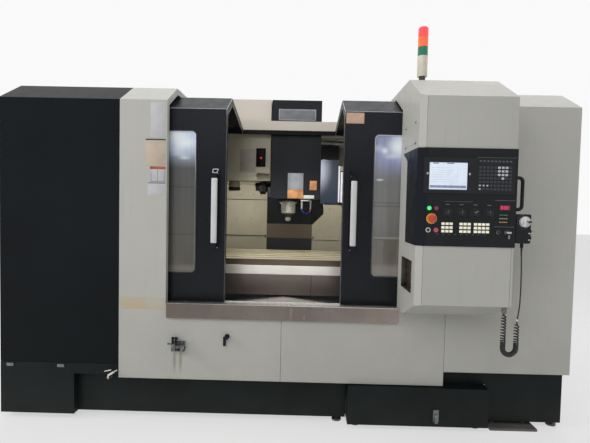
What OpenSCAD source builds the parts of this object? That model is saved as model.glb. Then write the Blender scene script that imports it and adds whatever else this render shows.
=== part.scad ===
/* [Enclosure] */
// Width over the two side covers
enclosure_w = 3766; // [3740:2:3840]
// Depth from the front sheets to the rear sheets
enclosure_d = 1960; // [1956:2:2000]
// Height of the front sheets, where the sloping edge begins
front_h = 2125; // [2120:1:2150]
// Height that the sloping edge adds
slope_rise = 131; // [125:1:150]
// Depth of the sloping edge
slope_run = 229; // [200:1:240]
// Thickness of the cover sheets
sheet = 3; // [2.5:0.5:3.5]
// Width of the black left cover
left_cover_w = 791; // [780:1:800]
// Width of the light pillar left of the doors
pillar_w = 309; // [300:1:320]
// Width of the door opening
opening_w = 1538; // [1530:1:1545]
// Width of the left lower front panel
left_panel_w = 1077; // [1060:1:1090]
// Width of the right lower front panel
right_panel_w = 1075; // [1060:1:1090]
// Gap between neighbouring front panels
seam_gap = 2; // [1.5:0.5:3]
// Height of the lower front panels' bottom edge
panel_bottom = 291; // [288:1:300]
// Height of the right cover's bottom edge
right_bottom = 385; // [380:1:395]
// Height of the seam under the left cover
left_seam = 384; // [380:1:390]
// Height of the roof over the work area
inner_roof = 2176; // [2175:1:2180]

/* [Sill and rails] */
// Top of the sill's front lip
sill_top = 803; // [802:1:810]
// Height of the sill's front face
sill_face_h = 98; // [90:1:105]
// How far the sill stands in front of the sheets
sill_out = 20; // [15:1:25]
// Top of the flat sheet that the doors run over
sill_flat = 791; // [788:1:792]
// Height of the lower door rail
rail_h = 6; // [5:1:7]
// Running gap under and behind the doors
run_gap = 0.3; // [0.2:0.1:0.4]

/* [Doors] */
// Depth of the door faces behind the front sheets
door_set = 78; // [75:1:82]
// Width of each door
door_w = 812; // [808:1:830]
// Right edge of the left door, from the middle of the machine
left_door_edge = -408; // [-412:1:-404]
// Left edge of the right door, from the middle of the machine
right_door_edge = 375; // [372:1:378]
// Height where the door face folds back
door_face_h = 2090; // [2080:1:2095]
// Depth of the door's ridge behind the front sheets
door_ridge_y = 301; // [295:1:305]
// Height of the door's ridge
door_ridge_z = 2211; // [2205:1:2215]
// Depth of the rear end of the door's roof
door_tail_y = 935; // [925:1:940]
// Height of the rear end of the door's roof
door_tail_z = 2090; // [2080:1:2092]
// Depth of the folded edge round each door
door_fold = 45; // [35:1:48]
// Thickness of the door sheets
door_sheet = 2.5; // [2:0.5:3]
// Width of each door window
window_w = 500; // [480:1:510]
// Height of each door window
window_h = 944; // [900:1:960]
// Height of the lower edge of the windows
window_z = 996; // [980:1:1010]
// Distance of the window from the door's inner edge
window_edge = 202; // [195:1:210]
// Corner radius of the windows
window_r = 30; // [20:1:40]
// Thickness of the window pane
pane_t = 6; // [5:1:8]
// Width of a door handle
handle_w = 39; // [34:1:44]
// Length of a door handle's bar
handle_l = 430; // [400:1:460]
// Height of the lower end of a handle's bar
handle_z = 1199; // [1180:1:1210]
// Distance of a handle from the door's inner edge
handle_edge = 48; // [44:1:60]

/* [Operator box] */
// Width of the operator box
box_w = 548; // [544:1:552]
// How far the operator box stands in front of the sheets
box_out = 374; // [365:1:385]
// Height of the box's front lower edge
box_bottom = 910; // [900:1:920]
// Height of the box's front upper edge
box_front_h = 2094; // [2080:1:2100]
// Depth of the box's sloping top edge
box_slope_run = 285; // [270:1:300]
// Width of the bevel on the box's front left edge
bevel_w = 38; // [34:1:42]
// Depth of the bevel on the box's front left edge
bevel_d = 20; // [16:1:24]
// Thickness of the black control panel
panel_t = 6; // [5:1:8]
// Height of the control panel's lower edge
control_z = 1250; // [1245:1:1255]
// Height of the control panel
control_h = 554; // [550:1:560]
// Width of the display and key unit
display_w = 510; // [500:1:515]
// Height of the display and key unit
display_h = 200; // [195:1:205]
// Width of the display's glass
screen_w = 219; // [211:1:222]
// Height of the display's glass
screen_h = 151; // [145:1:158]
// Diameter of the handwheel
wheel_d = 68; // [60:1:72]
// Diameter of the signal tower
tower_d = 65; // [60:1:70]
// Height of the signal tower above the roof
tower_h = 366; // [350:1:380]

/* [Bed and table] */
// Middle of the machine axes, left of the enclosure's middle
axis_x = -20; // [-24:1:-16]
// Width of the bed casting
bed_w = 880; // [860:2:890]
// Height of the bed's top
bed_top = 540; // [536:1:544]
// Height of the bed above the floor
bed_foot = 90; // [80:1:100]
// Front face of the bed behind the front sheets
bed_front = 160; // [155:1:170]
// Width of a guide rail
rail_w = 45; // [40:1:50]
// Distance of each Y rail from the middle
y_rail_off = 330; // [320:1:340]
// Length of the saddle
saddle_l = 2000; // [1990:2:2020]
// Depth of the saddle
saddle_d = 600; // [580:2:610]
// Length of the table
table_l = 1500; // [1480:2:1510]
// Depth of the table
table_d = 700; // [690:2:706]
// Height of the table's top
table_top = 1039; // [1036:1:1042]
// Thickness of the table
table_t = 114; // [112:1:116]
// Middle of the table behind the front sheets, as parked
table_y = 860; // [858:1:862]
// Width of a T-slot's neck
slot_w = 18; // [16:1:20]
// Distance between T-slots
slot_pitch = 125; // [120:1:128]

/* [Column and head] */
// Space between the rear wall of the work area and the column
column_gap = 60; // [59:1:63]
// Depth of the column
column_d = 635; // [600:1:650]
// Width of the column's foot
column_w = 800; // [780:2:810]
// Width of the column's top
column_top_w = 660; // [640:2:680]
// Height of the column's top
column_top = 2350; // [2340:1:2355]
// Spindle axis behind the front sheets
spindle_y = 1180; // [1178:1:1182]
// Outer diameter of the spindle cartridge
nose_d = 127; // [124:1:130]
// Lower face of the spindle cartridge
nose_z = 1380; // [1378:1:1384]
// Lowest point of the tool in the spindle
tool_z = 1309; // [1300:1:1312]
// Lower face of the head casting
head_z = 1520; // [1518:1:1522]
// Width of the head cover
head_cover_w = 432; // [428:1:436]
// Top of the head cover
head_cover_top = 2365; // [2350:1:2370]

/* [Lead] */
// Diameter of the pendant's lead
lead_d = 6.5; // [5:0.5:7]
// Outer diameter of its curly stretch
curl_d = 28; // [27:0.5:29]

/* [Hidden] */
// Roundness of plain cylinders, and of small ones
round_n = 64;
small_n = 32;

// Places across the machine, from left to right
x_left = -enclosure_w / 2;
x_right = enclosure_w / 2;
x_pillar = x_left + left_cover_w;
x_open = x_pillar + pillar_w;
x_box = x_open + opening_w;
x_box_end = x_box + box_w;
x_seam = x_pillar + left_panel_w;
x_right_cover = x_seam + right_panel_w;
roof_z = front_h + slope_rise;
panel_top = sill_flat - sheet;
// The rear sheets leave this stretch open for the bed and the column
rear_open = [axis_x - bed_w / 2 - 10, axis_x + bed_w / 2 + 10];

// Places of the inner walls, tray and way covers
slide_gap = 0.5;
wall_left = x_left + 243;
wall_right = x_right - 243;
wall_y = enclosure_d - 55;
column_front = wall_y + column_gap;
wall_top = 2170;
tray_y = 150;
flat_x = [x_left + 383, x_right - 423];
tray_ridge = 748;
tray_fall = 0.1163;
cover_step = sheet + slide_gap;
cover_half = 560;
way_cover_l = 394;
way_cover_y = 100;
apron_y = 495;
apron_z = 766;
apron_gap = 2;

// Head cover, way covers of the column and changer
head_cover_x = axis_x - 150;
head_cover_y = spindle_y - 195;
head_cover_z = 1512;
head_cover_d = 575;
head_back = column_front - 40;
column_rail_d = 36;
column_rail_off = 190;
column_rail_z = 1250;
plate_h = 410;
middle_plate_y = wall_y + 2 * sheet + slide_gap;
plate_y = middle_plate_y + sheet + slide_gap;
head_carriage_z = 1540;
plate_x = [axis_x - 242, axis_x + 234];
mag_x = [x_open + 7, axis_x - 158];
mag_y = [spindle_y - 180, wall_y - 125];
mag_z = [1664, 2368];
arm_x = axis_x - 235;
arm_z = 1575;

// Signs of the two sides
sides = [-1, 1];

// Frontmost and rearmost points, which centre the frame
control_y = -box_out - panel_t;
wheel_t = 16;
crank_l = 34;
front_reach = -(control_y - run_gap - wheel_t - crank_l);
rear_reach = column_front + column_d;
y_mid = (rear_reach - front_reach) / 2;

module placed() translate([0, -y_mid, 0]) children();

// A block between two values on each axis
module block(x, y, z) translate([x[0], y[0], z[0]]) cube([x[1] - x[0], y[1] - y[0], z[1] - z[0]]);

// A flat shape drawn in Y and Z, thick along X
module along_x(x) translate([x[0], 0, 0]) rotate([90, 0, 90]) linear_extrude(x[1] - x[0]) children();

// A flat shape drawn in X and Z, thick along Y
module along_y(y) translate([0, y[1], 0]) rotate([90, 0, 0]) linear_extrude(y[1] - y[0]) children();

module rod_x(x, y, z, r, n = round_n)
    translate([x[0], y, z]) rotate([0, 90, 0]) cylinder(h = x[1] - x[0], r = r, $fn = n);
module rod_y(x, y, z, r, n = round_n)
    translate([x, y[1], z]) rotate([90, 0, 0]) cylinder(h = y[1] - y[0], r = r, $fn = n);
module rod_z(x, y, z, r, n = round_n)
    translate([x, y, z[0]]) cylinder(h = z[1] - z[0], r = r, $fn = n);

// A rectangle with round corners, by its lower left corner
module round_rect(w, h, r) {
    translate([r, 0]) square([w - 2 * r, h]);
    translate([0, r]) square([w, h - 2 * r]);
    for (x = [r, w - r], y = [r, h - r]) translate([x, y]) circle(r, $fn = round_n);
}

function unit(v) = v / norm(v);
function normal(a, b) = let (u = unit(b - a)) [-u.y, u.x];
function mitre(a, b, c, d) = let (m = normal(a, b), n = normal(b, c)) b + d * (m + n) / (1 + m * n);
// A closed outline, moved to its left by d
function shifted(p, d) = let (n = len(p))
    [for (i = [0:n - 1]) mitre(p[(i + n - 1) % n], p[i], p[(i + 1) % n], d)];
// An open line of folds, moved to its left by d
function shifted_line(p, d) = let (n = len(p)) [for (i = [0:n - 1])
    i == 0 ? p[0] + d * normal(p[0], p[1])
    : i == n - 1 ? p[i] + d * normal(p[i - 1], p[i])
    : mitre(p[i - 1], p[i], p[i + 1], d)];
function backwards(p) = [for (i = [len(p) - 1:-1:0]) p[i]];
// The section of a folded sheet along a line of folds
function folded(p, d) = concat(p, backwards(shifted_line(p, d)));
function inner(range, d) = [range[0] + d, range[1] - d];

// Line of folds of a cover: front sheet, sloping edge and roof
function cover_line(z, depth) = [[0, z], [0, front_h], [slope_run, roof_z], [depth, roof_z]];

// Height of a gabled sheet's top at a place across the machine
function gable(x, ridge) = ridge - tray_fall * abs(x - axis_x);
function gable_line(x, ridge) = [[x[0], gable(x[0], ridge)], [axis_x, ridge], [x[1], gable(x[1], ridge)]];
module gable_sheet(x, y, ridge) along_y(y) polygon(folded(gable_line(x, ridge), -sheet));

// Bed with its two Y rails, on levelling feet
bed_x = [axis_x - bed_w / 2, axis_x + bed_w / 2];
bed_pad = 90;
bed_stud_in = 25;
rib = 50;
bed_cells = 6;
y_rail_h = 40;
y_screw_z = 560;
channel_w = 120;
channel_z = 500;
y_rail_y = [330, 1900];
module base_casting() {
    cell_l = (rear_reach - bed_front - rib) / bed_cells - rib;
    cell_w = (bed_w - 4 * rib) / 3;
    lug_x = 350;
    color("darkslategray") placed() {
        difference() {
            block(bed_x, [bed_front, rear_reach], [bed_foot, bed_top]);
            for (i = [0:bed_cells - 1], j = [0:2])
                translate([bed_x[0] + rib + j * (cell_w + rib), bed_front + rib + i * (cell_l + rib),
                    bed_foot - 1]) cube([cell_w, cell_l, channel_z - 2 * rib - bed_foot + 1]);
            block([axis_x - channel_w / 2, axis_x + channel_w / 2], [bed_front - 1, column_front - rib],
                [channel_z, bed_top + 1]);
        }
        for (s = sides) {
            block([axis_x + s * y_rail_off - rail_w / 2, axis_x + s * y_rail_off + rail_w / 2],
                y_rail_y, [bed_top, bed_top + y_rail_h]);
            block([axis_x + s * lug_x - rib / 2, axis_x + s * lug_x + rib / 2], [guard_set + sheet, bed_front],
                [right_bottom - rib, right_bottom]);
        }
    }
}

// Pads and studs under the bed, the guard and the tank
guard_set = 60;
guard_foot = 36;
tank_foot = 30;
guard_right = x_right - 10;
bed_pad_r = 55;
pad_t = 25;
stud_r = 16;
module bed_pad(x, y) {
    rod_z(x, y, [0, pad_t], bed_pad_r);
    rod_z(x, y, [pad_t, bed_foot], stud_r, small_n);
}
module guard_pad(x, y) {
    rod_z(x, y, [0, 12], 32, small_n);
    rod_z(x, y, [12, guard_foot], 10, small_n);
}
floor_plate_x = [x_right - 503, x_right - 193];
floor_plate_y = [0, 190];
module levelling_feet() {
    plate_t = 16;
    pad_pitch = (rear_reach - bed_front - 2 * bed_pad) / 3;
    color("dimgray") placed() {
        for (i = [0:3], s = sides)
            bed_pad(axis_x + s * (bed_w / 2 - bed_stud_in), bed_front + bed_pad + i * pad_pitch);
        for (x = [x_left + 35, guard_right - 35], y = [110, enclosure_d / 2, enclosure_d - 60]) guard_pad(x, y);
        guard_pad(tank_x[0] - 60, guard_set + 40);
        block(floor_plate_x, floor_plate_y, [0, plate_t]);
        for (x = [floor_plate_x[0] + 50, floor_plate_x[1] - 50])
            rod_z(x, guard_set + 40, [plate_t, guard_foot], stud_r, small_n);
        for (x = [tank_x[0] + 60, tank_x[1] - 60], y = [tank_y[0] + 80, tank_y[1] - 80])
            rod_z(x, y, [0, tank_foot], 30, small_n);
    }
}

// Column with its two Z rails and the channel of its screw
column_cells = 4;
module column() {
    cell_w = (column_top_w - 3 * rib) / 2;
    cell_h = (column_top - bed_top - rib) / column_cells - rib;
    color("darkslategray") placed() {
        difference() {
            along_y([column_front, rear_reach]) polygon([
                [axis_x - column_w / 2, bed_top], [axis_x + column_w / 2, bed_top],
                [axis_x + column_top_w / 2, column_top], [axis_x - column_top_w / 2, column_top]]);
            for (i = [0:1], j = [0:column_cells - 1])
                translate([axis_x - column_top_w / 2 + rib + i * (cell_w + rib), column_front + 3 * rib,
                    bed_top + rib + j * (cell_h + rib)]) cube([cell_w, column_d, cell_h]);
            block([axis_x - channel_w / 2, axis_x + channel_w / 2], [column_front - 1, column_front + 2 * rib],
                [column_rail_z, column_top + 1]);
        }
        for (s = sides)
            block([axis_x + s * column_rail_off - rail_w / 2, axis_x + s * column_rail_off + rail_w / 2],
                [column_front - column_rail_d, column_front], [column_rail_z, column_top]);
    }
}

// Black guard round the foot of the machine
recess_x = x_left + 493;
recess_z = 310;
guard_top = 400;
lip = 20;
module lower_guard() {
    tank_gap = 6;
    flange = 70;
    color([0.09, 0.1, 0.1]) placed() {
        difference() {
            union() {
                block([x_left + sheet, guard_right], [guard_set, guard_set + sheet], [guard_foot, guard_top]);
                block([x_left, guard_right], [guard_set, guard_set + flange], [guard_foot, guard_foot + sheet]);
            }
            block([tank_x[0] - tank_gap, tank_x[1] + tank_gap], [0, 3 * guard_set], [0, tank_top]);
        }
        for (x = [x_left, guard_right - flange])
            block([x, x + flange], [guard_set, enclosure_d - sheet], [guard_foot, guard_foot + sheet]);
        difference() {
            block([x_left, x_pillar - seam_gap], [0, sheet], [guard_foot, left_seam - sheet]);
            block([recess_x, x_pillar], [-1, guard_set - 1], [guard_foot - 1, recess_z]);
        }
        block([x_left + sheet, x_pillar - seam_gap], [sheet, 2 * sheet], [left_seam - lip, left_seam + lip]);
        block([x_left, x_pillar - seam_gap], [sheet, guard_set], [left_seam - lip, left_seam - lip + sheet]);
        block([recess_x - sheet, recess_x], [0, guard_set], [guard_foot, recess_z]);
        block([recess_x - sheet, x_pillar - seam_gap], [0, guard_set], [recess_z, recess_z + sheet]);
        block([x_left, x_left + sheet], [0, enclosure_d - sheet], [guard_foot, left_seam - sheet]);
        block([guard_right - sheet, guard_right], [guard_set, enclosure_d - sheet], [guard_foot, guard_top]);
        for (x = [[x_left, rear_open[0]], [rear_open[1], guard_right]])
            block(x, [enclosure_d - 2 * sheet, enclosure_d - sheet], [guard_foot, left_seam - sheet]);
    }
}

// Folded cover with one end wall
module cover(x, z, end_x) {
    along_x(x) polygon(folded(cover_line(z, enclosure_d), -sheet));
    along_x([end_x, end_x + sheet]) polygon(concat(cover_line(z, enclosure_d), [[enclosure_d, z]]));
}
module left_cover() {
    color([0.11, 0.13, 0.14]) placed() {
        cover([x_left, x_pillar], left_seam, x_left);
        block([x_left, rear_open[0]], [enclosure_d - sheet, enclosure_d], [left_seam, inner_roof - sheet]);
        block([x_left, x_open], [enclosure_d - sheet, enclosure_d], [left_seam, roof_z - sheet]);
    }
}

// Light pillar between the black cover and the doors, with its edge folded back along the front and the roof
module left_pillar() {
    roof_fold = 38;
    fold_end = 900;
    color("lightgray") placed() {
        along_x([x_pillar, x_open]) polygon(folded(cover_line(panel_top, enclosure_d - sheet), -sheet));
        block([x_open - sheet, x_open], [0, door_fold], [sill_flat, front_h]);
        along_x([x_open - sheet, x_open]) polygon(folded(cover_line(sill_flat, fold_end), -roof_fold));
    }
}

// Lower front panel with its edges folded back
module front_panel(x, z) {
    edge = 25;
    block(x, [0, sheet], z);
    for (e = [x[0], x[1] - sheet]) block([e, e + sheet], [0, edge], z);
    block(x, [0, edge], [z[0], z[0] + sheet]);
}
module front_panel_left() {
    color("lightgray") placed() front_panel([x_pillar, x_seam - seam_gap], [panel_bottom, panel_top]);
}
module front_panel_right() {
    color("lightgray") placed() front_panel([x_seam, x_right_cover - seam_gap], [panel_bottom, panel_top]);
}

// Right cover, which reaches behind the operator box over the right door
box_roof_end = 478;
module right_cover() {
    color("lightgray") placed() {
        cover([x_right_cover, x_right], right_bottom, x_right - sheet);
        block([x_box, x_right_cover + 1], [box_roof_end + seam_gap, enclosure_d], [roof_z - sheet, roof_z]);
        block([rear_open[1], x_right], [enclosure_d - sheet, enclosure_d], [right_bottom, inner_roof - sheet]);
        block([x_box, x_right], [enclosure_d - sheet, enclosure_d], [right_bottom, roof_z - sheet]);
    }
}

// Side outlines of the operator box, beside the door and in front of the right cover
box_low_z = 793;
box_low_y = -93;
door_gap = 8;
box_ridge_y = -box_out + box_slope_run;
box_by_door = [[-box_out, box_bottom], [-box_out, box_front_h], [box_ridge_y, roof_z], [box_roof_end, roof_z],
    [box_roof_end, door_ridge_z + door_gap + sheet], [door_ridge_y - sheet, door_ridge_z + door_gap + sheet],
    [door_set - door_gap, door_face_h + door_gap + sheet], [door_set - door_gap, box_low_z],
    [box_low_y, box_low_z]];
slope_gap = 5;
box_by_cover = [[-box_out, box_bottom], [-box_out, box_front_h], [box_ridge_y, roof_z],
    [slope_run - slope_gap * slope_run / slope_rise, roof_z], [0, front_h + slope_gap], [0, box_low_z],
    [box_low_y, box_low_z]];
// Removes the bevelled front left edge, moved inwards by d
module bevel_cut(d) {
    a = [x_box, -box_out + bevel_d];
    b = [x_box + bevel_w, -box_out];
    u = unit(b - a);
    n = [-u.y, u.x];
    reach = 60;
    linear_extrude(roof_z + 1)
        polygon([a + d * n - reach * u, b + d * n + reach * u, [x_box - reach, -box_out - reach]]);
}
// The whole body of the box, smaller by d on every side
module box_body(d) {
    difference() {
        union() {
            along_x([x_box + d, x_right_cover + (d > 0 ? 1 : 0)]) polygon(shifted(box_by_door, -d));
            along_x([x_right_cover, x_box_end - d]) polygon(shifted(box_by_cover, -d));
        }
        bevel_cut(d);
    }
}
pocket_y = [-282, -16];
pocket_z = [955, 1150];
module operator_box() {
    service_x = [x_box + 30, x_right_cover - 30];
    pocket_depth = 40;
    color("gainsboro") placed() {
        difference() {
            box_body(0);
            difference() {
                box_body(sheet);
                block([x_box, x_box + pocket_depth + sheet], inner(pocket_y, -sheet), inner(pocket_z, -sheet));
            }
            block([x_box - 1, x_box + pocket_depth], pocket_y, pocket_z);
            block(service_x, [door_set - door_gap - 2 * sheet, door_set], [box_bottom + 90, box_front_h - 90]);
        }
        access_panel();
    }
}
// Raised service plate on the box's left side, with its screws
module access_panel() {
    plate_y = [-300, -34];
    plate_z = [1838, 1984];
    inset = 14;
    block([x_box - 1.5, x_box], plate_y, plate_z);
    for (y = inner(plate_y, inset), z = inner(plate_z, inset)) rod_x([x_box - 4, x_box], y, z, 5, small_n);
}

// Stainless sill in front of and under the doors
module front_sill() {
    face_x = [x_open + 10, x_box - 10];
    pass_x = cover_half + 10;
    color("silver") placed() {
        along_x(face_x) polygon(folded([[0, sill_top - sill_face_h], [-sill_out, sill_top - sill_face_h],
            [-sill_out, sill_top], [sheet, sill_top], [sheet, sill_flat]], -sheet));
        block(face_x, [-sheet, tray_y], [sill_flat - sheet, sill_flat]);
        block(flat_x, [sheet, tray_y], [sill_flat - sheet, sill_flat]);
        difference() {
            along_y([tray_y - sheet, tray_y])
                polygon(concat(gable_line(flat_x, tray_ridge),
                    [[flat_x[1], sill_flat], [flat_x[0], sill_flat]]));
            block([axis_x - pass_x, axis_x + pass_x], [0, tray_y + 1], [0, top_ridge + cover_step]);
        }
    }
}

// Gabled tray under the work area, open over the bed
module chip_tray() {
    color("silver") placed() {
        gable_sheet([wall_left + sheet, wall_right - sheet], [way_cover_y, apron_y], tray_ridge);
        difference() {
            gable_sheet([wall_left + sheet, wall_right - sheet], [apron_y, wall_y], tray_ridge);
            block([axis_x - cover_half, axis_x + cover_half], [apron_y - 1, wall_y + 1], [0, front_h]);
        }
    }
}

// Light inner walls, the brown apron of the column and the dark panel beside it
seam_z = [1111, 1500];
apron_x = [axis_x - 265, axis_x + 370];
module inner_walls() {
    hem = 8;
    hem_h = 6;
    right_drop = 30;
    gap_top = axis_x + 364;
    gap_low = axis_x + 242;
    left_end = axis_x - 250;
    gloss_x = [axis_x + 323, axis_x + 508];
    gloss_z = [1475, 1946];
    hood_z = [1950, 2086];
    hood_d = 70;
    color("beige") placed() {
        for (x = [wall_left, wall_right - sheet])
            block([x, x + sheet], [tray_y, enclosure_d - sheet], [guard_top, wall_top]);
        difference() {
            union() {
                block([wall_left + sheet, left_end], [wall_y, wall_y + sheet], [guard_top, wall_top]);
                along_y([wall_y, wall_y + sheet]) polygon([[gap_low, guard_top], [wall_right - sheet, guard_top],
                    [wall_right - sheet, wall_top], [gap_top, wall_top], [gap_top, 1363], [gap_low, 1241]]);
            }
            block(inner(bed_x, -slide_gap), inner([wall_y, wall_y + sheet], -1), [0, bed_top + slide_gap]);
        }
        for (z = seam_z) {
            block([wall_left + sheet, left_end], [wall_y - hem, wall_y], [z, z + hem_h]);
            block([z == seam_z[0] ? gap_low : gap_top, wall_right - sheet], [wall_y - hem, wall_y],
                [z - right_drop, z - right_drop + hem_h]);
        }
        block(apron_x, [wall_y + sheet, wall_y + 2 * sheet], [600, 1247]);
        block(gloss_x, [wall_y - 2 * hem, wall_y - hem], gloss_z);
        block([gap_top, gloss_x[1]], [wall_y - hem, wall_y], gloss_z);
        block([gloss_x[0] + 7, gloss_x[1]], [wall_y - hood_d, wall_y - hem], hood_z);
        block([gap_top, gloss_x[1]], [wall_y - hem, wall_y], hood_z);
    }
}

// Fixed roof: beam behind the doors and plate right of the head
beam_y = 940;
beam_d = 40;
beam_z = 2097;
module roof_panels() {
    color("gainsboro") placed() {
        along_x([x_open, x_box]) polygon(folded([[beam_y + beam_d, beam_z], [beam_y, beam_z],
            [beam_y, inner_roof], [beam_y + beam_d, inner_roof]], -sheet));
        block([axis_x + 295, x_box], [beam_y + beam_d, enclosure_d - sheet], [inner_roof - sheet, inner_roof]);
        block([x_box - sheet, x_box], [beam_y, enclosure_d - sheet], [inner_roof - sheet, roof_z - sheet]);
        block([x_open, x_open + sheet], [beam_y, wall_y], [beam_z, roof_z]);
        for (x = [x_open, x_box - sheet])
            block([x, x + sheet], [beam_y, beam_y + beam_d], [beam_z, roof_z - sheet]);
        for (y = [beam_y + beam_d, enclosure_d - 2 * beam_d])
            block([x_box, x_box + beam_d], [y, y + beam_d], [roof_z - 2 * sheet, roof_z - sheet]);
    }
}

// Cover of the tool magazine, with the changer's gear case and the waiting pot
shaft_y = spindle_y;
mag_axis_y = 1400;
mag_axis_z = 2015;
disc_x = mag_x[0] + 76;
module magazine_cover() {
    hatch_x = [mag_x[1] - 270, mag_x[1] - 130];
    hatch_z = [1740, 1938];
    pane_x = [mag_x[1] - 128, mag_x[1] - 42];
    pane_z = [1785, 1949];
    case_x = [mag_x[1] - 126, mag_x[1] - sheet];
    case_y = [1040, 1330];
    case_z = 1900;
    notch_z = 1731;
    pot_x = arm_x - 263;
    pot_r = 50;
    color("gainsboro") placed() {
        difference() {
            block(mag_x, mag_y, mag_z);
            block(inner(mag_x, sheet), inner(mag_y, sheet), inner(mag_z, sheet));
            block([case_x[0], mag_x[1] + 1], [mag_y[0] - 1, mag_y[0] + sheet + 1], [mag_z[0] + sheet, notch_z]);
            for (r = [[hatch_x, hatch_z], [pane_x, pane_z]])
                block(r[0], [mag_y[0] - 1, mag_y[0] + 1.5], r[1]);
            rod_z(arm_x, shaft_y, [mag_z[0] - 1, mag_z[0] + sheet + 1], arm_shaft_r + 5);
        }
        difference() {
            block(case_x, case_y, [mag_z[0] + sheet, case_z]);
            rod_z(arm_x, shaft_y, [mag_z[0], mag_z[0] + 100], arm_shaft_r + shaft_gap);
        }
        rod_z(pot_x, shaft_y, [1580, mag_z[0]], pot_r);
        rod_x([mag_x[0] + sheet, disc_x - run_gap], mag_axis_y, mag_axis_z, 50);
        block([x_open + sheet, mag_x[0]], [mag_y[0], mag_y[1]], [inner_roof - 2 * beam_d, inner_roof]);
    }
}

// Rails of the doors: on the sill and under the beam
module door_rails() {
    rail_x = flat_x;
    rail_y = [96, 108];
    top_rail_d = 20;
    top_rail_h = 35;
    color("dimgray") placed() {
        block(rail_x, rail_y, [sill_flat, sill_flat + rail_h]);
        block([wall_left + sheet, wall_right - sheet], [beam_y, beam_y + top_rail_d],
            [beam_z - top_rail_h, beam_z]);
    }
}

// Coolant tank that stands under the front, with its pump
tank_x = [x_right - 1452, x_right - 532];
tank_y = [-30, 900];
tank_top = 285;
module coolant_tank() {
    wall = 4;
    hatch = 90;
    pump = [tank_x[1] - 151, tank_y[0] + 630];
    pump_h = [90, 270];
    color([0.09, 0.1, 0.1]) placed() {
        difference() {
            block(tank_x, tank_y, [tank_foot, tank_top]);
            block(inner(tank_x, wall), inner(tank_y, wall), [tank_foot + wall, tank_top - wall]);
            rod_z(pump.x - 3 * hatch, pump.y, [tank_top - 2 * wall, tank_top + 1], hatch);
        }
        rod_z(pump.x, pump.y, [tank_top, tank_top + pump_h[0]], 75);
        rod_z(pump.x, pump.y, [tank_top + pump_h[0], tank_top + pump_h[1]], 90);
        rod_x([pump.x - 3 * hatch, pump.x], pump.y + 20, tank_top + pump_h[0] / 2, 16, small_n);
    }
}

// Black control panel, wrapped round the box's bevel and left side
wing_y = -122;
wing_z = 1750;
wing_tip_y = -17;
control_top = control_z + control_h;
collar_h = 7;
module on_panel(x, z) translate([x_box + x, control_y, control_z + z]) rotate([90, 0, 0]) children();
// A ring that stands on the panel
module ring(r, hole, h) difference() {
    cylinder(h = h, r = r, $fn = round_n);
    translate([0, 0, -1]) cylinder(h = h + 2, r = hole, $fn = round_n);
}
cap_gap = 0.4;
stop_at = [78, 155];
stop_neck_r = 13;
buttons_at = [[62, 214], [101, 214], [59, 91], [104, 91]];
button_r = [11, 11, 9, 9];
knob_at = [for (i = [0:3]) [166 + 77.7 * i, 191]];
knob_r = 15;
keys_at = [[453, 86], [498, 86]];
module control_panel() {
    dial_r = 30;
    dial_t = 1.2;
    stop_plate_r = 30;
    color([0.08, 0.08, 0.09]) placed() {
        intersection() {
            difference() {
                box_body(-panel_t);
                box_body(0);
            }
            union() {
                block([x_box - 2 * panel_t, x_box_end + 3], [-box_out - 2 * panel_t, -box_out + bevel_d],
                    [control_z, control_top]);
                along_x([x_box - 2 * panel_t, x_box + 1]) polygon([[-box_out, control_z], [wing_y, control_z],
                    [wing_y, wing_z], [wing_tip_y, control_top], [-box_out, control_top]]);
            }
        }
        on_panel(stop_at[0], stop_at[1]) {
            cylinder(h = dial_t, r = stop_plate_r, $fn = round_n);
            ring(stop_neck_r + cap_gap + 5, stop_neck_r + cap_gap, collar_h + 1);
        }
        for (i = [0:3]) on_panel(buttons_at[i][0], buttons_at[i][1])
            ring(button_r[i] + cap_gap + 3, button_r[i] + cap_gap, collar_h);
        for (k = knob_at) on_panel(k[0], k[1]) cylinder(h = dial_t, r = dial_r, $fn = round_n);
        for (k = keys_at) on_panel(k[0], k[1]) {
            cylinder(h = 4, r = 11, $fn = round_n);
            translate([-1.5, -8, 4]) cube([3, 16, 14]);
        }
        led_window();
    }
}
// Raised frame of the small readout and the three rows of lamps under it
module led_window() {
    on_panel(462, 214) linear_extrude(3) round_rect(36, 22, 2);
    for (z = [183, 163, 143], i = [0:3]) on_panel(462 + 12 * i, z) cylinder(h = 2.5, r = 3, $fn = small_n);
}

// Display and key unit
display_at = [25, 298];
display_t = 6;
module display_unit() {
    screen_at = [30, 22];
    screen_depth = 4;
    key_at = [306, 29];
    key_pitch = [20.9, 20];
    key_size = [16, 13];
    top_row_z = 177;
    key_h = 2;
    color([0.13, 0.13, 0.14]) placed() translate([x_box + display_at[0], control_y, control_z + display_at[1]])
        rotate([90, 0, 0]) {
            difference() {
                linear_extrude(display_t) round_rect(display_w, display_h, 4);
                translate([screen_at[0], screen_at[1], display_t - screen_depth])
                    cube([screen_w, screen_h, display_t]);
            }
            for (i = [0:8], j = [0:6])
                translate([key_at[0] + i * key_pitch[0], key_at[1] + j * key_pitch[1] - key_size[1] / 2,
                    display_t]) cube([key_size[0], key_size[1], key_h]);
            for (i = [0:8]) translate([key_at[0] + i * key_pitch[0], top_row_z, display_t])
                cube([key_size[0], key_size[1] - 3, key_h]);
        }
}

// White lit keys in three fields
module lit_keys() {
    key = [17, 14, 5];
    pitch = [22.6, 21];
    rows_z = 86;
    fields = [[143, 3], [244, 3], [325, 4]];
    color("white") placed() for (f = fields, i = [0:f[1] - 1], j = [0:2])
        on_panel(f[0] + i * pitch[0], rows_z + j * pitch[1])
            translate([-key[0] / 2, -key[1] / 2, 0]) cube(key);
}

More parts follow.
